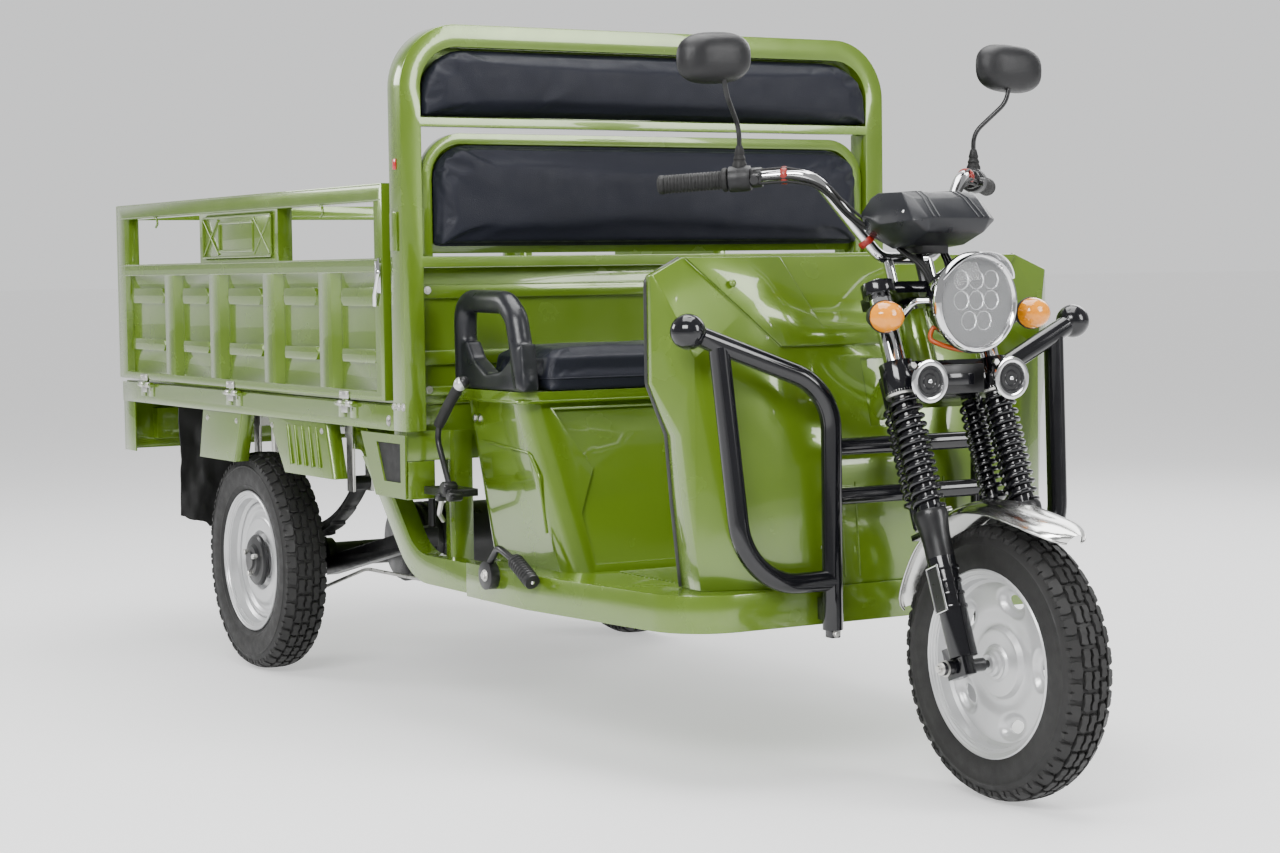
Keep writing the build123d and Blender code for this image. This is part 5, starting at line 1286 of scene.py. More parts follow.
@dataclass
class Pad:
    """Stuffed pad grown from its solid: remeshed, puffed, folded and settled as cloth.

    The face looks along `facing`; `wide` and `tall` are the axes across it.
    """

    node: str
    body: Body
    facing: int
    fill: float
    puff: float
    folds: tuple[Fold, ...] = ()
    corner: float = 0.03
    grid: float = 0.006
    limit: float = 0.008

    def _axes(self) -> tuple[int, int]:
        """The two axes across the face."""
        return (1, 2) if self.facing == 0 else (1, 0)

    def _block(self) -> bpy.types.Object:
        """Even grid over the node's own mesh."""
        build = bmesh.new()
        build.from_mesh(frame["nodes"][self.node].data)
        made = Workshop.mesh_object(f"{self.node}_cover", build)
        grid = made.modifiers.new("grid", "REMESH")
        grid.mode, grid.voxel_size = "VOXEL", self.grid
        soft = made.modifiers.new("soft", "SMOOTH")
        soft.factor, soft.iterations = 0.5, 6
        return Workshop.bake(made)

    def _shape(self, made: bpy.types.Object) -> None:
        """Puff the face and lay the folds in it."""
        low, high = (Vector(corner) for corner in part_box(self.node))
        wide, tall = self._axes()
        middle, half = (low + high) / 2, (high - low) / 2
        depth = high[self.facing] - low[self.facing]
        for vertex in made.data.vertices:
            spot = vertex.co
            across = (spot[wide] - middle[wide]) / half[wide]
            along = (spot[tall] - middle[tall]) / half[tall]
            front = min(1.0, max(0.0, (spot[self.facing] - low[self.facing]) / depth))
            swell = max(0.0, 1 - abs(across) ** 8) * max(0.0, 1 - abs(along) ** 3)
            lift = self.puff * (swell - 0.72) * front
            noise = mathutils_noise.noise(Vector((spot[wide] * 9, spot[tall] * 12, 2.0)))
            lift += 0.0016 * noise * front
            for fold in self.folds:
                aside = spot[wide] - fold.at[0]
                upward = spot[tall] - fold.at[1]
                distance = math.hypot(aside, upward)
                angle = math.atan2(upward, aside) - fold.heading
                turned = math.atan2(math.sin(angle), math.cos(angle))
                fade = math.exp(-((distance / fold.reach) ** 2)) * max(0.0, math.cos(turned)) ** 1.5
                wave = math.sin(turned * 0.10 / fold.spacing + 2.2 * noise)
                lift += fold.depth * fade * wave * min(1.0, distance / 0.03) * front
            spot[self.facing] += lift
        made.data.update()

    def _settle(self, made: bpy.types.Object) -> None:
        """Let the cover settle under a light pressure, pinned at its back."""
        low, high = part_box(self.node)
        base = [vertex.co.copy() for vertex in made.data.vertices]
        pins = made.vertex_groups.new(name="back")
        floor = low[self.facing] + 0.35 * (high[self.facing] - low[self.facing])
        pins.add([i for i, spot in enumerate(base) if spot[self.facing] < floor], 1.0, "REPLACE")
        cloth = made.modifiers.new("settle", "CLOTH")
        settings = cloth.settings
        settings.quality, settings.vertex_group_mass = 5, "back"
        settings.use_pressure, settings.uniform_pressure_force = True, 4.0
        settings.tension_stiffness, settings.compression_stiffness, settings.bending_stiffness = 12, 10, 0.6
        settings.effector_weights.gravity = 0.0
        cloth.collision_settings.use_collision = False
        cloth.collision_settings.use_self_collision = False
        for step in range(1, 21):
            bpy.context.scene.frame_set(step)
        graph = bpy.context.evaluated_depsgraph_get()
        settled = made.evaluated_get(graph).data
        moved = [settled.vertices[i].co.copy() for i in range(len(base))]
        made.modifiers.clear()
        made.vertex_groups.clear()
        for vertex, start, end in zip(made.data.vertices, base, moved):
            shift = end - start
            if shift.length > self.limit:
                shift *= self.limit / shift.length
            vertex.co = start + shift
        bpy.context.scene.frame_set(1)
        made.data.update()

    def _welt(self, made: bpy.types.Object) -> bpy.types.Object:
        """Welt cord round the face's edge."""
        low, high = (Vector(corner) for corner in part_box(self.node))
        wide, tall = self._axes()
        line = []
        inset, low_corner = 0.0015, 0.012
        depth = low[self.facing] + 0.30 * (high[self.facing] - low[self.facing])
        for sx, sy in ((1, 1), (-1, 1), (-1, -1), (1, -1)):
            rounded = self.corner if sy > 0 or self.facing == 2 else low_corner
            for step in range(7):
                t = math.radians(90 * step / 6) if sx == sy else math.radians(90 - 90 * step / 6)
                spot = [0.0, 0.0, 0.0]
                edge_w = (high[wide] if sx > 0 else low[wide]) - sx * (rounded + inset)
                edge_t = (high[tall] if sy > 0 else low[tall]) - sy * (rounded + inset)
                spot[wide] = edge_w + sx * rounded * math.cos(t)
                spot[tall] = edge_t + sy * rounded * math.sin(t)
                spot[self.facing] = depth
                line.append(tuple(spot))
        line.append(line[0])
        cord = Workshop.pipe(f"{self.node}_welt", line, 0.0022, sides=6)
        return Workshop.finish_piece(cord, VINYL, self.body, 60)

    def build(self) -> set[str]:
        """Make the pad and return its node."""
        made = self._block()
        self._shape(made)
        self._settle(made)
        finer = made.modifiers.new("finer", "SUBSURF")
        finer.levels = finer.render_levels = 1
        Workshop.bake(made)
        Workshop.finish_piece(made, VINYL, self.body, 60, (self.node,))
        self._welt(made)
        return {self.node}


def sheet_box(name: str, corners: list[Vector], thick: Vector) -> bpy.types.Object:
    """Flat plate with the given outline.

    Args:
        name: the piece's name.
        corners: the outline, in order.
        thick: how far the second face lies from the first.

    Returns:
        The plate.
    """
    build = bmesh.new()
    rows = [[build.verts.new(point + shift) for point in corners] for shift in (Vector(), thick)]
    Workshop.skin(build, rows, ends=True)
    return Workshop.mesh_object(name, build)


def bolt(name: str, spot: Point, axis: Point, body: Body, size: float = 0.006, finish: Finish | None = None,
         domed: bool = False) -> bpy.types.Object:
    """Bolt head with its washer, or a domed screw.

    Args:
        name: the piece's name.
        spot: where the head meets the surface.
        axis: outward direction.
        body: the body it rides on.
        size: radius of the head.
        finish: its surface, zinc unless given.
        domed: a round head in place of a hexagon.

    Returns:
        The bolt.
    """
    if domed:
        line = [(0, size * 0.62), (size * 0.5, size * 0.54), (size * 0.85, size * 0.3), (size, 0.0),
                (size, -0.001), (0, -0.001)]
        made = Workshop.lathe(name, line, spot, axis, 20)
    else:
        head = Workshop.lathe("head", [(0, size * 0.75), (size * 0.86, size * 0.75), (size, size * 0.62),
                                       (size, 0.0), (0, 0.0)], spot, axis, 6)
        washer = Workshop.lathe("washer", [(0, 0.0012), (size * 1.45, 0.0012), (size * 1.5, 0.0), (size * 1.5, -0.001),
                                           (0, -0.001)], spot, axis, 24)
        made = Workshop.join(name, [head, washer])
    return Workshop.finish_piece(made, finish or ZINC, body, 30)


class Seating:
    """Back pads, bench cushion and the trim of the seat base."""

    pads = (
        Pad("upper_back_pad", Body.CHASSIS, 0, 0.8, 0.009, (
            Fold((-0.535, 1.375), math.radians(-18), 0.0042, 0.030, 0.17),
            Fold((-0.30, 1.262), math.radians(20), 0.0024, 0.022, 0.12),
            Fold((0.535, 1.36), math.radians(198), 0.0030, 0.030, 0.14)), 0.098),
        Pad("lower_back_pad", Body.CHASSIS, 0, 0.8, 0.010, (
            Fold((-0.51, 1.190), math.radians(-28), 0.0032, 0.034, 0.16),
            Fold((0.51, 1.185), math.radians(208), 0.0030, 0.032, 0.15),
            Fold((0.15, 0.998), math.radians(75), 0.0016, 0.040, 0.12)), 0.072),
        Pad("seat_cushion", Body.SEAT, 2, 0.9, 0.010, (
            Fold((-0.42, 0.47), math.radians(150), 0.0026, 0.034, 0.13),
            Fold((0.42, 0.47), math.radians(210), 0.0026, 0.034, 0.13))),
    )

    @staticmethod
    def _rim_bead() -> None:
        """Rolled bead under the seat rim."""
        points = [(fwd(x), y, 0.6855) for x, y in (
            (1.010, -0.487), (1.292, -0.487), (1.297, -0.470), (1.297, 0.470), (1.292, 0.487), (1.010, 0.487))]
        bead = Workshop.pipe("seat_rim_bead", points, 0.0042, 0.02)
        Workshop.finish_piece(bead, GREEN, Body.CHASSIS, 60)

    @staticmethod
    def _side_seams() -> None:
        """Pressed line and two screws on each side of the base."""
        for side in (1, -1):
            def skin(z: float) -> float:
                """Place of the base's sloping side at a height."""
                foot, rim, foot_half, spread = 0.358, 0.685, 0.4484, 0.024
                return side * (foot_half + (z - foot) / (rim - foot) * spread)

            line = [(fwd(x), skin(z), z) for x, z in ((1.085, 0.600), (1.285, 0.585), (1.318, 0.540),
                                                      (1.330, 0.430))]
            ridge = Workshop.pipe(f"seat_side_ridge_{side}", line, 0.0032, 0.03)
            Workshop.finish_piece(ridge, GREEN, Body.CHASSIS, 60)
            for distance in (1.060, 1.082):
                bolt(f"seat_side_bolt_{side}_{distance}", (fwd(distance), skin(0.645), 0.645), (0, side, 0),
                     Body.CHASSIS, 0.005)

    def build(self) -> set[str]:
        """Make the seat's soft and pressed pieces and return the nodes they stand for."""
        done: set[str] = set()
        for pad in self.pads:
            done |= pad.build()
        self._rim_bead()
        self._side_seams()
        return done


@dataclass
class LegShield:
    """Edge trim, screws, seams and neck cover of the leg shield."""

    outline: tuple[tuple[float, float], ...] = ((0.388, 0.361), (0.405, 0.520), (0.415, 0.640), (0.4545, 0.735),
                                                (0.4545, 0.925), (0.384, 0.960))

    def _trim(self) -> None:
        """Dark trim along each side edge."""
        for side in (1, -1):
            line = [(fwd(1.7225), side * y, z) for y, z in self.outline]
            edge = Workshop.pipe(f"shield_trim_{hand(side)}", line, 0.0042, 0.02)
            Workshop.finish_piece(edge, DARK_TRIM, Body.CHASSIS, 60)

    @staticmethod
    def face(z: float) -> float:
        """Station of the shield's middle face at a height."""
        stops = ((0.358, 1.862), (0.560, 1.846), (0.700, 1.812), (0.860, 1.768), (0.962, 1.734))
        for (low, first), (high, last) in zip(stops, stops[1:]):
            if z <= high:
                return fwd(first + (last - first) * (z - low) / (high - low))
        return fwd(stops[-1][1])

    def _neck_cover(self) -> None:
        """Green plate that closes the hole round the frame's neck."""
        half, low, high = 0.034, 0.642, 0.773
        corners = [Vector((self.face(z) - 0.004, y, z))
                   for y, z in ((-half, low), (half, low), (half, high), (-half, high))]
        cover = sheet_box("shield_neck_cover", corners, Vector((-0.003, 0, 0)))
        Workshop.finish_piece(cover, GREEN, Body.CHASSIS)

    def _door_seams(self) -> None:
        """Frame of the service door low in the middle of the shield."""
        for y in (-0.118, -0.085, 0.085, 0.118):
            lines = [(self.face(z) + 0.0004, y, z) for z in (0.372, 0.46, 0.545)]
            seam = Workshop.pipe(f"shield_seam_{y}", lines, 0.0020)
            Workshop.finish_piece(seam, GREEN, Body.CHASSIS, 60)

    def build(self) -> set[str]:
        """Make the shield's trim; the shield itself keeps its own form."""
        self._trim()
        self._neck_cover()
        self._door_seams()
        for side in (1, -1):
            bolt(f"shield_screw_{side}", (fwd(1.7665), side * 0.296, 0.9146), (0.93, 0, 0.36), Body.CHASSIS, 0.0075,
                 GREEN, True)
            bolt(f"shield_low_screw_{side}", (fwd(1.8620), side * 0.165, 0.43), (1, 0, 0.06), Body.CHASSIS, 0.006,
                 ZINC, True)
        return set()


@dataclass
class Fender:
    """Crowned sheet over the front wheel, with its stays and bolts."""

    half: float = 0.056
    crown: float = 0.016
    stations: tuple[tuple[float, float], ...] = ((2.377, 0.485), (2.330, 0.5035), (2.275, 0.516), (2.220, 0.5255),
                                                 (2.166, 0.529), (2.105, 0.522), (2.042, 0.495), (1.985, 0.452),
                                                 (1.944, 0.392), (1.912, 0.318))

    def _line(self) -> list[tuple[float, float]]:
        """Finer stations along the blade."""
        route = []
        count = len(self.stations)
        for index in range(count - 1):
            before = self.stations[max(0, index - 1)]
            here, there = self.stations[index], self.stations[index + 1]
            after = self.stations[min(count - 1, index + 2)]
            for step in range(5):
                t = step / 5
                route.append(tuple(0.5 * (2 * b + (c - a) * t + (2 * a - 5 * b + 4 * c - d) * t * t
                                          + (3 * b - a - 3 * c + d) * t ** 3)
                                   for a, b, c, d in zip(before, here, there, after)))
        route.append(self.stations[-1])
        return route

    def _sections(self) -> list[tuple[Vector, Vector, float]]:
        """Middle, outward direction and half width of each section along the blade."""
        route = self._line()
        sections = []
        for index, (distance, height) in enumerate(route):
            out = Vector((fwd(distance) - FRONT_AXLE.x, 0, height - FRONT_AXLE.z)).normalized()
            share = index / (len(route) - 1)
            flare = 1.0 - 0.72 * max(0.0, 1 - share / 0.16) ** 2.2 - 0.35 * max(0.0, (share - 0.93) / 0.07) ** 2
            sections.append((Vector((fwd(distance), 0, height)), out, self.half * flare))
        return sections

    def build(self) -> set[str]:
        """Make the blade and return its node."""
        build = bmesh.new()
        rows = []
        for middle, out, half in self._sections():
            row = []
            for step in range(17):
                t = -1 + step / 8
                drop = self.crown * (abs(t) ** 2.4) + 0.0035 * (abs(t) > 0.99)
                row.append(build.verts.new(middle + Vector((0, t * half, 0)) - out * drop))
            rows.append(row)
        Workshop.skin(build, rows, closed=False)
        made = Workshop.mesh_object("front_fender_blade", build)
        thick = made.modifiers.new("thick", "SOLIDIFY")
        thick.thickness, thick.offset = 0.0022, -1
        Workshop.bake(made)
        Workshop.finish_piece(made, STEEL, Body.STEERING, 50, ("front_fender",))
        self._beads()
        self._stays()
        return {"front_fender"}

    def _beads(self) -> None:
        """Rolled bead along both side edges."""
        for side in (1, -1):
            line = [tuple(middle + Vector((0, side * half, 0)) - out * (self.crown + 0.004))
                    for middle, out, half in self._sections()]
            bead = Workshop.pipe(f"fender_bead_{hand(side)}", line, 0.0021, sides=6)
            Workshop.finish_piece(bead, STEEL, Body.STEERING, 60)

    def _stays(self) -> None:
        """Curved bridge and flat stays between the sliders and the blade."""
        for side in (1, -1):
            label = hand(side)
            points = [tuple(steer(0.030, side * 0.094, 0.508)), (fwd(2.085), side * 0.070, 0.508),
                      (fwd(2.090), side * 0.050, 0.512)]
            arm = Workshop.pipe(f"fender_stay_{label}", points, 0.0055, 0.02)
            Workshop.finish_piece(arm, STEEL, Body.STEERING, 60)
            corners = [Vector((fwd(x), side * 0.0575, z))
                       for x, z in ((2.050, 0.508), (2.085, 0.515), (2.082, 0.455), (2.060, 0.440))]
            tab = sheet_box(f"fender_tab_{label}", corners, Vector((0, side * 0.003, 0)))
            Workshop.finish_piece(tab, BLACK_SATIN, Body.STEERING)
            bolt(f"fender_bolt_{label}", (fwd(2.070), side * 0.0605, 0.487), (0, side, 0), Body.STEERING, 0.0055)


@dataclass
class SideWall:
    """Blank sign plate, hooks, beads, hinge leaves, bolts and latch of one drop side."""

    side: int

    @property
    def body(self) -> Body:
        """The body of this wall."""
        return Body.WALL_LEFT if self.side > 0 else Body.WALL_RIGHT

    def _sign(self) -> None:
        """Raised frame with cross creases and a blank recessed middle."""
        y = self.side * 0.5985
        rear, front, low, high = fwd(-0.118), fwd(0.308), 0.984, 1.078
        inner_rear, inner_front = fwd(-0.010), fwd(0.200)
        strips = []
        for x0, x1, z0, z1, radius, bend in ((rear, front, low, high, 0.0026, 0.008),
                                             (inner_rear, inner_front, 0.998, 1.064, 0.0034, 0.006)):
            loop = [(x0, y, z0), (x1, y, z0), (x1, y, z1), (x0, y, z1), (x0, y, z0)]
            strips.append(Workshop.pipe("frame", loop, radius, bend))
        for first, last in ((rear + 0.006, inner_rear - 0.008), (front - 0.006, inner_front + 0.008)):
            strips.append(Workshop.pipe("cross", [(first, y, low + 0.006), (last, y, high - 0.006)], 0.0024))
            strips.append(Workshop.pipe("cross", [(first, y, high - 0.006), (last, y, low + 0.006)], 0.0024))
        strips.append(Workshop.block("plate", (rear, y - self.side * 0.004, low),
                                     (front, y - self.side * 0.0005, high), 0.001))
        Workshop.finish_piece(Workshop.join(f"wall_sign_{hand(self.side)}", strips), GREEN, self.body, 45)

    def _hinges(self) -> None:
        """Zinc hinge leaves over the pins, with two bolts each."""
        inside, outside = self.side * 0.5982, self.side * 0.6012
        line = [(0, 0.034), (0.0060, 0.034), (0.0072, 0.032), (0.0072, 0.012), (0.0064, 0.011), (0.0064, -0.011),
                (0.0072, -0.012), (0.0072, -0.032), (0.0060, -0.034), (0, -0.034)]
        for distance in (-0.560, 0.040, 0.700):
            x = fwd(distance)
            upper, lower = (Workshop.block("leaf", (x - half, inside, low), (x + half, outside, high), 0.001)
                            for low, high, half in ((0.676, 0.692, 0.024), (0.646, 0.662, 0.016)))
            knuckle = Workshop.lathe("knuckle", line, (x, self.side * 0.5965, 0.665), (1, 0, 0), 20)
            made = Workshop.join(f"wall_hinge_{self.side}_{distance}", [upper])
            Workshop.finish_piece(made, ZINC, self.body, 40)
            made = Workshop.join(f"bed_hinge_{self.side}_{distance}", [lower, knuckle])
            Workshop.finish_piece(made, ZINC, Body.CHASSIS, 40)
            for shift in (-0.016, 0.016):
                bolt(f"hinge_bolt_{self.side}_{distance}_{shift}", (x + shift, outside, 0.686),
                     (0, self.side, 0), self.body, 0.004, ZINC, True)

    def _hooks(self) -> None:
        """Rope hooks under the top rail and beads along the rails."""
        for number, distance in enumerate((-0.44, 0.60)):
            x, y = fwd(distance), self.side * 0.600
            route = [(x - 0.02, y, 1.0905), (x + 0.004, y, 1.0865), (x + 0.010, y, 1.072), (x - 0.004, y, 1.064)]
            hook = Workshop.pipe(f"rope_hook_{self.side}_{number}", route, 0.0028, 0.006)
            Workshop.finish_piece(hook, GREEN, self.body, 60)
        y = self.side * 0.5978
        for z in (0.945, 0.970, 1.092, 1.123):
            bead = Workshop.pipe(f"rail_bead_{self.side}_{z}", [(fwd(-0.735), y, z), (fwd(0.898), y, z)], 0.0014,
                                 sides=4)
            Workshop.finish_piece(bead, GREEN, self.body, 60)

    def _latch(self) -> None:
        """Over-centre latch on the wall's front post: base, handle and bail."""
        def place(x: float, out: float, z: float) -> Point:
            """Point from its distances along, out of and above the latch's corner."""
            return fwd(0.888) + x, self.side * (0.599 + out), 0.900 + z

        parts = [
            Workshop.block("base", place(-0.015, 0, 0), place(0.012, 0.0030, 0.062), 0.001),
            Workshop.pipe("handle", [place(-0.002, 0.0035, 0.064), place(0.010, 0.0055, 0.042),
                                     place(-0.008, 0.0060, -0.003), place(-0.014, 0.0035, -0.026)], 0.0052, 0.012),
            Workshop.pipe("bail", [place(-0.004, 0.004, 0.012), place(0.012, 0.0045, 0.042),
                                   place(0.008, 0.004, 0.072)], 0.0026, 0.006),
        ]
        made = Workshop.join(f"wall_latch_{hand(self.side)}", parts)
        Workshop.finish_piece(made, CHROME, self.body, 45)

    def build(self) -> set[str]:
        """Make the wall's fittings; the wall itself keeps its own form."""
        self._sign()
        self._hinges()
        self._hooks()
        self._latch()
        return set()


class Chassis:
    """Floor ribs, bolts, reflectors, tail lamps and the parking lever's grip."""

    @staticmethod
    def _floor_ribs() -> None:
        """Anti-slip ribs across the foot floor."""
        motif = Workshop.block("rib", (-0.003, -0.36, 0.0), (0.003, 0.36, 0.0022), 0.0009)
        made = Repeater.repeat("floor_ribs", motif, 16, GREEN, (fwd(1.452), 0, 0.3578), travel=(0.0155, 0, 0))
        Workshop.finish_piece(made, GREEN, Body.CHASSIS, 40)

    @staticmethod
    def _bed_ribs() -> None:
        """Pressed ribs along the load floor."""
        motif = Workshop.block("rib", (-0.80, -0.006, 0.0), (0.80, 0.006, 0.0018), 0.0008)
        made = Repeater.repeat("bed_ribs", motif, 11, GREEN_BED, (fwd(0.085), -0.50, 0.6708), travel=(0, 0.10, 0))
        Workshop.finish_piece(made, GREEN_BED, Body.CHASSIS, 40)

    @staticmethod
    def _bolts() -> None:
        """Bolts at the hoop's feet, on the steps and along the headboard."""
        for side in (1, -1):
            for number in range(3):
                bolt(f"hoop_bolt_{side}_{number}", (fwd(0.948 + 0.022 * number), side * 0.5976, 0.668),
                     (0, side, 0), Body.CHASSIS, 0.0055)
            for name, z in ((0.592, 0.640), (0.634, 0.634)):
                bolt(f"step_bolt_{side}_{name}", (fwd(0.905), side * 0.5905, z), (0, side, 0), Body.CHASSIS, 0.0055)
            reflector = Workshop.block(f"hoop_reflector_{hand(side)}", (fwd(0.964), side * 0.5972, 1.150),
                                       (fwd(0.980), side * 0.6000, 1.172), 0.0015)
            Workshop.finish_piece(reflector, RED_LENS, Body.CHASSIS, 40)
            for height in (0.700, 0.905):
                bolt(f"headboard_bolt_{side}_{height}", (fwd(0.9625), side * 0.525, height), (1, 0, 0), Body.CHASSIS,
                     0.0055)

    @staticmethod
    def _tail_lamps() -> None:
        """Lenses, ribs and rims of the tail lamps, behind the lamp board."""
        face = fwd(-0.7605)
        for side in (1, -1):
            label = hand(side)
            low_y, high_y = sorted((side * 0.330, side * 0.510))
            base = Workshop.block("base", (face, low_y - 0.004, 0.511), (fwd(-0.755), high_y + 0.004, 0.599), 0.002)
            cells = [Workshop.paint(base, BLACK_SATIN)]
            for start, end, finish in ((0.332, 0.392, AMBER), (0.394, 0.448, RED_LENS), (0.450, 0.508, RED_LENS)):
                cell_low, cell_high = sorted((side * start, side * end))
                cell = Workshop.block("cell", (fwd(-0.773), cell_low, 0.516), (face, cell_high, 0.594), 0.003)
                cells.append(Workshop.paint(cell, finish))
            made = Workshop.join(f"tail_lamp_{label}", cells)
            Workshop.finish_piece(made, RED_LENS, Body.CHASSIS, 40)
            if side > 0:
                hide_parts("tail_lamps")
            for row in range(9):
                z = 0.5215 + row * 0.0082
                rib = Workshop.block(f"tail_lamp_rib_{label}_{row}", (fwd(-0.7742), low_y + 0.004, z),
                                     (fwd(-0.7726), high_y - 0.004, z + 0.002), 0.0004)
                Workshop.finish_piece(rib, RED_LENS, Body.CHASSIS, 40)
        plate = Workshop.block("number_plate_holder", (fwd(-0.760), -0.11, 0.520), (fwd(-0.7552), 0.11, 0.600), 0.002)
        Workshop.finish_piece(plate, BLACK_SATIN, Body.CHASSIS, 40)

    @staticmethod
    def _levers() -> None:
        """Rubber grip of the parking lever and the ratchet's bolts."""
        start, end = Vector((fwd(1.362), -0.540, 0.384)), Vector((fwd(1.430), -0.540, 0.350))
        run, length = (end - start).normalized(), (end - start).length
        line = [(0.0, -0.004), (0.0145, -0.004)]
        for rib in range(8):
            base = rib * (length - 0.012) / 8
            line += [(0.0148, base), (0.0162, base + 0.0018), (0.0162, base + 0.0050), (0.0148, base + 0.0065)]
        line += [(0.0158, length - 0.006), (0.0145, length), (0.006, length + 0.0015), (0.0, length + 0.0015)]
        grip = Workshop.lathe("parking_lever_grip", line, tuple(start), tuple(run), 28)
        Workshop.finish_piece(grip, RUBBER, Body.CHASSIS, 35)
        bolt("parking_lever_pivot", (fwd(1.240), -0.5452, 0.345), (0, -1, 0), Body.CHASSIS, 0.008)
        bolt("parking_lever_button", tuple(end + run * 0.0012), tuple(run), Body.CHASSIS, 0.004, CHROME, True)

    @staticmethod
    def _bar_tab() -> None:
        """Tab and bolt under each post of the front bars."""
        rear, front, half = fwd(1.884), fwd(1.906), 0.010
        for side in (1, -1):
            y = side * 0.170
            tab = Workshop.block(f"bar_tab_{side}", (rear, y - half, 0.268), (front, y + half, 0.288), 0.002)
            Workshop.finish_piece(tab, BLACK_GLOSS, Body.CHASSIS, 40)
            bolt(f"bar_bolt_{side}", (front, y, 0.277), (1, 0, 0), Body.CHASSIS, 0.0055)

    def build(self) -> set[str]:
        """Make the fittings and return the nodes they stand for."""
        self._floor_ribs()
        self._bed_ribs()
        self._bolts()
        self._tail_lamps()
        self._levers()
        self._bar_tab()
        return {"tail_lamps"}


class InstrumentHousing:
    """Faceted housing over the bar clamp, with ribs, screws and a dark display."""

    corners: tuple[Point, ...] = (
        (1.930, 0.056, 0.972), (1.990, 0.060, 0.978), (2.046, 0.062, 1.000), (1.898, 0.092, 1.000),
        (1.893, 0.100, 1.036), (1.960, 0.104, 1.016), (2.040, 0.092, 1.022), (2.056, 0.068, 1.026),
        (1.906, 0.088, 1.064), (1.924, 0.084, 1.0735), (1.992, 0.080, 1.0735), (2.016, 0.072, 1.062),
    )

    def build(self) -> set[str]:
        """Make the housing and return its node."""
        build = bmesh.new()
        for distance, across, height in self.corners:
            for side in (1, -1):
                build.verts.new((fwd(distance), side * across, height))
        bmesh.ops.convex_hull(build, input=build.verts)
        bmesh.ops.dissolve_limit(build, angle_limit=math.radians(2), verts=build.verts, edges=build.edges)
        sharp = [edge for edge in build.edges if edge.calc_face_angle(0) > 0.2]
        bmesh.ops.bevel(build, geom=sharp, offset=0.0028, segments=2, profile=0.5, affect="EDGES")
        parts = [Workshop.paint(Workshop.mesh_object("shell", build), GREY_PLASTIC)]
        for y in (-0.046, -0.036, 0.036, 0.046):
            route = [(fwd(1.930), y * 0.9, 1.0735), (fwd(1.991), y, 1.0735), (fwd(2.016), y * 1.1, 1.062),
                     (fwd(2.055), y * 1.2, 1.027)]
            parts.append(Workshop.paint(Workshop.pipe("rib", route, 0.0020, sides=6), GREY_PLASTIC))
        foot = Workshop.block("foot", (fwd(1.925), -0.030, 0.9625), (fwd(1.985), 0.030, 0.990), 0.003)
        stay = Workshop.pipe("stay", [tuple(steer(0.058, 0, 0.953)), tuple(steer(0.058, 0, 1.010))], 0.009)
        parts += [Workshop.paint(foot, PLASTIC), Workshop.paint(stay, BLACK_SATIN)]
        made = Workshop.join("instrument_shell", parts)
        Workshop.finish_piece(made, GREY_PLASTIC, Body.STEERING, 25, ("instrument_housing",))
        corners = [Vector((fwd(x), y, z)) for x, y, z in (
            (1.8950, -0.074, 1.038), (1.8950, 0.074, 1.038), (1.9045, 0.068, 1.061), (1.9045, -0.068, 1.061))]
        face = sheet_box("instrument_glass", corners, Vector((-0.0035, 0, 0.0012)))
        Workshop.finish_piece(face, BLACK_GLOSS, Body.STEERING)
        for side in (1, -1):
            bolt(f"instrument_screw_{side}", (fwd(2.010), side * 0.0905, 1.038), (0.4, side * 0.7, 0.4), Body.STEERING,
                 0.003, CHROME, True)
        return {"instrument_housing"}


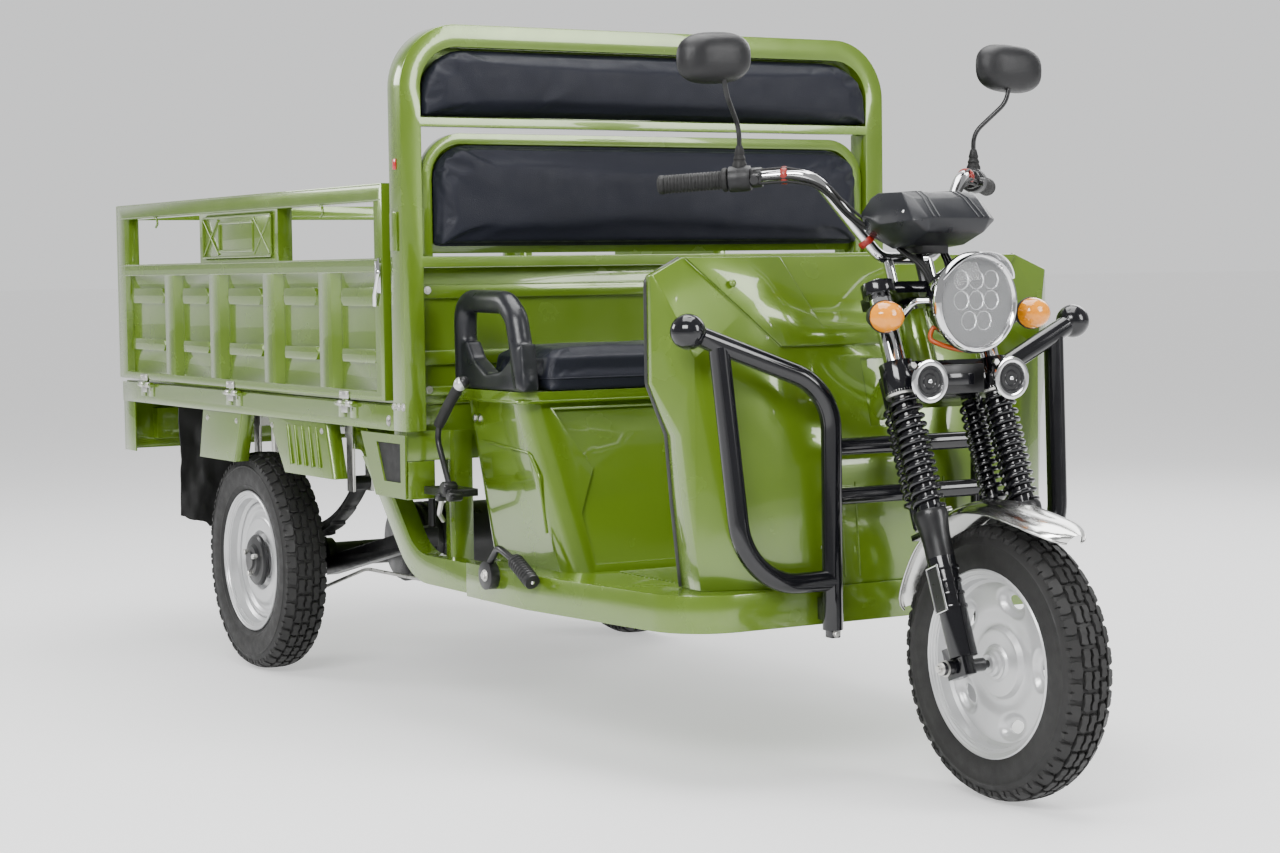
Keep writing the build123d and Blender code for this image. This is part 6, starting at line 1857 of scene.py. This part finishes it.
class SideTrim:
    """Moulded seat handles, step boxes, guard louvres, flaps and the gear lever's grip."""

    @staticmethod
    def _handles() -> None:
        """Moulded arm-rest loops, thick at the foot and round at the corners."""
        route = ((1.030, 0.712), (1.027, 0.883), (1.212, 0.880), (1.252, 0.850), (1.292, 0.716))
        web = ((1.014, 0.7055), (1.014, 0.800), (1.064, 0.800), (1.088, 0.768), (1.150, 0.738), (1.215, 0.745),
               (1.300, 0.800), (1.312, 0.7055))
        for side in (1, -1):
            y = side * 0.472
            loop = Workshop.pipe("loop", [(fwd(x), y, z) for x, z in route], 0.0235, 0.046, sides=20)
            foot = sheet_box("foot", [Vector((fwd(x), y - 0.0185, z)) for x, z in web], Vector((0, 0.037, 0)))
            made = Workshop.join(f"seat_handle_{hand(side)}", [loop, foot])
            even = made.modifiers.new("grid", "REMESH")
            even.mode, even.voxel_size = "VOXEL", 0.004
            soft = made.modifiers.new("soft", "SMOOTH")
            soft.factor, soft.iterations = 0.5, 9
            Workshop.bake(made)
            Workshop.finish_piece(made, GREY_PLASTIC, Body.CHASSIS, 60, ("seat_handles",) if side > 0 else ())

    @staticmethod
    def _louvres() -> None:
        """Slanted pressed ridges on the front guard plates."""
        for side in (1, -1):
            motif = Workshop.pipe("ridge", [(-0.010, side * 0.5872, 0.048), (0.012, side * 0.5885, -0.040)], 0.0042)
            made = Repeater.repeat(f"guard_ridges_{hand(side)}", motif, 5, GREEN,
                                   (fwd(0.365), 0, 0.556), travel=(0.040, 0, 0))
            Workshop.finish_piece(made, GREEN, Body.CHASSIS, 50)
            for x, z in ((0.262, 0.598), (0.545, 0.598), (-0.150, 0.598), (0.040, 0.598)):
                bolt(f"guard_bolt_{side}_{x}", (fwd(x), side * 0.5862, z), (0, side, 0), Body.CHASSIS, 0.0045)

    @staticmethod
    def _step_boxes() -> None:
        """Frame plate with a dark window on each step box."""
        outer = ((0.772, 0.610), (0.990, 0.610), (0.988, 0.480), (0.842, 0.480))
        window = ((0.850, 0.592), (0.966, 0.592), (0.966, 0.512), (0.886, 0.512))
        for side in (1, -1):
            build = bmesh.new()
            rings = [[build.verts.new((fwd(x), side * y, z)) for x, z in outline]
                     for outline, y in ((outer, 0.5905), (outer, 0.5950), (window, 0.5950), (window, 0.5905))]
            Workshop.skin(build, [*rings, rings[0]])
            plate = Workshop.mesh_object(f"step_frame_{hand(side)}", build)
            Workshop.finish_piece(plate, GREEN, Body.CHASSIS, 30)
            corners = [Vector((fwd(x), side * 0.5902, z)) for x, z in window]
            dark = sheet_box(f"step_window_{hand(side)}", corners, Vector((0, side * 0.0008, 0)))
            Workshop.finish_piece(dark, RUBBER, Body.CHASSIS)

    @staticmethod
    def _flaps() -> None:
        """Creased rubber flaps with a ragged lower edge."""
        down, wide = 28, 18
        for side in (1, -1):
            build = bmesh.new()
            rows = []
            for step in range(down + 1):
                share = step / down
                row = []
                for across in range(wide + 1):
                    along = across / wide
                    y = 0.415 + 0.173 * along
                    ragged = 0.020 * mathutils_noise.noise(Vector((along * 7, side * 3.0, 0.5)))
                    z = 0.6165 - (0.298 - ragged - 0.03 * abs(along - 0.5) * share) * share
                    bulge = 0.016 * mathutils_noise.noise(Vector((along * 3.2, z * 11, side))) * min(1, share * 4)
                    bulge += 0.006 * mathutils_noise.noise(Vector((along * 9, z * 32, side * 2))) * min(1, share * 4)
                    row.append(build.verts.new((fwd(-0.345) + bulge, side * y, z)))
                rows.append(row)
            Workshop.skin(build, rows, closed=False)
            made = Workshop.mesh_object(f"mud_flap_{hand(side)}", build)
            thick = made.modifiers.new("thick", "SOLIDIFY")
            thick.thickness, thick.offset = 0.003, 0
            Workshop.bake(made)
            Workshop.finish_piece(made, RUBBER, Body.CHASSIS, 60, ("mud_flaps",) if side > 0 else ())

    @staticmethod
    def _gear_grip() -> None:
        """Thick sleeve and end cap on the gear lever, and its linkage."""
        line = [(fwd(1.046), -0.545, 0.634), (fwd(1.098), -0.545, 0.680), (fwd(1.146), -0.545, 0.7185)]
        sleeve = Workshop.pipe("gear_lever_sleeve", line, 0.0112, sides=14)
        Workshop.finish_piece(sleeve, RUBBER, Body.CHASSIS, 40)
        run = (Vector(line[-1]) - Vector(line[1])).normalized()
        dome = [(0, 0.014), (0.008, 0.0125), (0.0128, 0.007), (0.0132, 0.0), (0.0125, -0.006), (0, -0.006)]
        cap = Workshop.lathe("gear_lever_cap", dome, line[-1], tuple(run), 24)
        Workshop.finish_piece(cap, SILVER, Body.CHASSIS, 45)
        for number, (x, z, size) in enumerate(((1.086, 0.508, 0.013), (1.062, 0.488, 0.009), (1.112, 0.492, 0.010))):
            barrel = [(0, 0.016), (size * 0.8, 0.0155), (size, 0.012), (size, -0.012), (size * 0.8, -0.0155),
                      (0, -0.016)]
            knob = Workshop.lathe(f"gear_joint_{number}", barrel, (fwd(x), -0.545, z), (0, 1, 0), 22)
            Workshop.finish_piece(knob, BLACK_SATIN, Body.CHASSIS, 40)
        rod = Workshop.pipe("gear_rod", [(fwd(1.062), -0.548, 0.488), (fwd(1.040), -0.545, 0.452),
                                         (fwd(0.965), -0.500, 0.430)], 0.005, 0.02)
        Workshop.finish_piece(rod, ZINC, Body.CHASSIS, 50)

    def build(self) -> set[str]:
        """Make them and return the nodes they stand for."""
        self._handles()
        self._louvres()
        self._step_boxes()
        self._flaps()
        self._gear_grip()
        return {"seat_handles", "mud_flaps"}


REAR_Y = 0.501
ASSEMBLIES: list = [
    Tyre("front_tyre_visual", tuple(FRONT_AXLE), 0.2445, 0.0475, Body.FRONT_WHEEL, "front_tyre", 40),
    Tyre("rear_tyre_right_visual", (REAR_AXLE_X, -REAR_Y, 0.26), 0.260, 0.0525, Body.REAR_RIGHT, "rear_tyre_right"),
    Tyre("rear_tyre_left_visual", (REAR_AXLE_X, REAR_Y, 0.26), 0.260, 0.0525, Body.REAR_LEFT, "rear_tyre_left"),
    Wheel("front_wheel", tuple(FRONT_AXLE), -1, Body.FRONT_WHEEL, "front_rim", DiscStyle.WINDOWS),
    Wheel("rear_wheel_right", (REAR_AXLE_X, -REAR_Y, 0.26), -1, Body.REAR_RIGHT, "rear_rim_right",
          DiscStyle.STEPPED, "rear_hub_cap_right"),
    Wheel("rear_wheel_left", (REAR_AXLE_X, REAR_Y, 0.26), 1, Body.REAR_LEFT, "rear_rim_left",
          DiscStyle.STEPPED, "rear_hub_cap_left"),
    FrontEnd(),
    InstrumentHousing(),
    Fender(),
    LegShield(),
    Seating(),
    SideWall(1),
    SideWall(-1),
    Chassis(),
    SideTrim(),
]


@dataclass
class Studio:
    """Floor, soft lights and the camera at the photograph's view."""

    floor_size: float = 400.0
    camera_at: Point = (4.82444, -2.77655, 0.93892)
    yaw: float = 149.566
    pitch: float = 3.5325
    roll: float = -0.7705
    lens: float = 70.93
    panels: list[tuple[Point, float, float, float]] = field(default_factory=lambda: [
        ((3.4, -3.6, 3.4), 2.6, 1.6, 300.0),
        ((5.4, 2.6, 2.8), 1.6, 2.8, 200.0),
        ((-3.6, -3.4, 2.6), 2.0, 1.4, 110.0),
        ((-1.8, 4.4, 3.4), 3.4, 2.4, 120.0),
        ((0.2, 0.2, 5.2), 5.0, 3.6, 420.0),
    ])

    def floor(self) -> None:
        """Pale floor far past the frame's edges."""
        build = bmesh.new()
        half = self.floor_size / 2
        corners = [(-half, -half), (half, -half), (half, half), (-half, half)]
        build.faces.new([build.verts.new((x, y, -0.0005)) for x, y in corners])
        ground = Workshop.mesh_object("studio_floor", build)
        pale = bpy.data.materials.new("studio_floor_paper")
        pale.use_nodes = True
        shader = pale.node_tree.nodes["Principled BSDF"]
        for socket, value in (("Base Color", (0.62, 0.62, 0.625, 1)), ("Roughness", 0.9), ("Specular IOR Level", 0.1),
                              ("Emission Color", (1, 1, 1, 1)), ("Emission Strength", 0.60)):
            shader.inputs[socket].default_value = value
        ground.data.materials.append(pale)

    def lights(self) -> None:
        """Large soft panels and a pale surround, dimmer towards the sides."""
        for number, (place, width, depth, power) in enumerate(self.panels):
            lamp = bpy.data.lights.new(f"soft_panel_{number}", "AREA")
            lamp.shape = "RECTANGLE"
            lamp.size, lamp.size_y, lamp.energy = width, depth, power
            held = Workshop.linked(f"soft_panel_{number}", lamp)
            held.location = place
            held.rotation_euler = (Vector((0, 0, 0.5)) - Vector(place)).to_track_quat("-Z", "Y").to_euler()
        world = bpy.data.worlds.new("pale_surround")
        world.use_nodes = True
        nodes, links = world.node_tree.nodes, world.node_tree.links
        background = nodes["Background"]
        background.inputs["Color"].default_value = (0.95, 0.955, 0.96, 1)
        place = nodes.new("ShaderNodeTexCoord")
        toward = nodes.new("ShaderNodeVectorMath")
        toward.operation = "DOT_PRODUCT"
        toward.inputs[1].default_value = (-0.86, 0.50, 0.12)
        spread = nodes.new("ShaderNodeMapRange")
        spread.interpolation_type = "SMOOTHSTEP"
        for socket, value in (("From Min", 0.58), ("From Max", 0.88), ("To Min", 0.42), ("To Max", 1.0)):
            spread.inputs[socket].default_value = value
        links.new(place.outputs["Generated"], toward.inputs[0])
        links.new(toward.outputs["Value"], spread.inputs["Value"])
        links.new(spread.outputs["Result"], background.inputs["Strength"])
        bpy.context.scene.world = world

    def camera(self) -> None:
        """Camera at the measured place, turned by yaw, pitch and roll."""
        yaw, pitch, roll = (math.radians(v) for v in (self.yaw, self.pitch, self.roll))
        ahead = Vector((math.cos(yaw) * math.cos(pitch), math.sin(yaw) * math.cos(pitch), -math.sin(pitch)))
        right = ahead.cross(Vector((0, 0, 1))).normalized()
        upward = right.cross(ahead)
        level = right * math.cos(roll) + upward * math.sin(roll)
        rise = upward * math.cos(roll) - right * math.sin(roll)
        turn = Matrix((level, rise, -ahead)).transposed()
        eye = bpy.data.cameras.new("photo_view")
        eye.lens, eye.sensor_width, eye.sensor_fit = self.lens, 36.0, "HORIZONTAL"
        held = Workshop.linked("photo_view", eye)
        held.matrix_world = Matrix.Translation(self.camera_at) @ turn.to_4x4()
        bpy.context.scene.camera = held

    def build(self) -> None:
        """Set up the floor, the lights and the camera."""
        self.floor()
        self.lights()
        self.camera()


def dress_remaining(done: set[str]) -> None:
    """Give every node that no piece stands for its rounded copy and finish.

    Args:
        done: nodes already replaced by a sub-assembly.
    """
    for node in frame["nodes"]:
        if node not in done:
            Workshop.soften_node(node, NODE_FINISHES.get(node, GREEN), SOFT_EDGES.get(node, NODE_EDGE))


def main() -> None:
    """Build the looks, piece by piece."""
    logging.basicConfig(level=logging.INFO, format="%(name)s %(message)s")
    done: set[str] = set()
    for assembly in ASSEMBLIES:
        done |= assembly.build()
    dress_remaining(done)
    Studio().build()


if __name__ == "__main__":
    main()
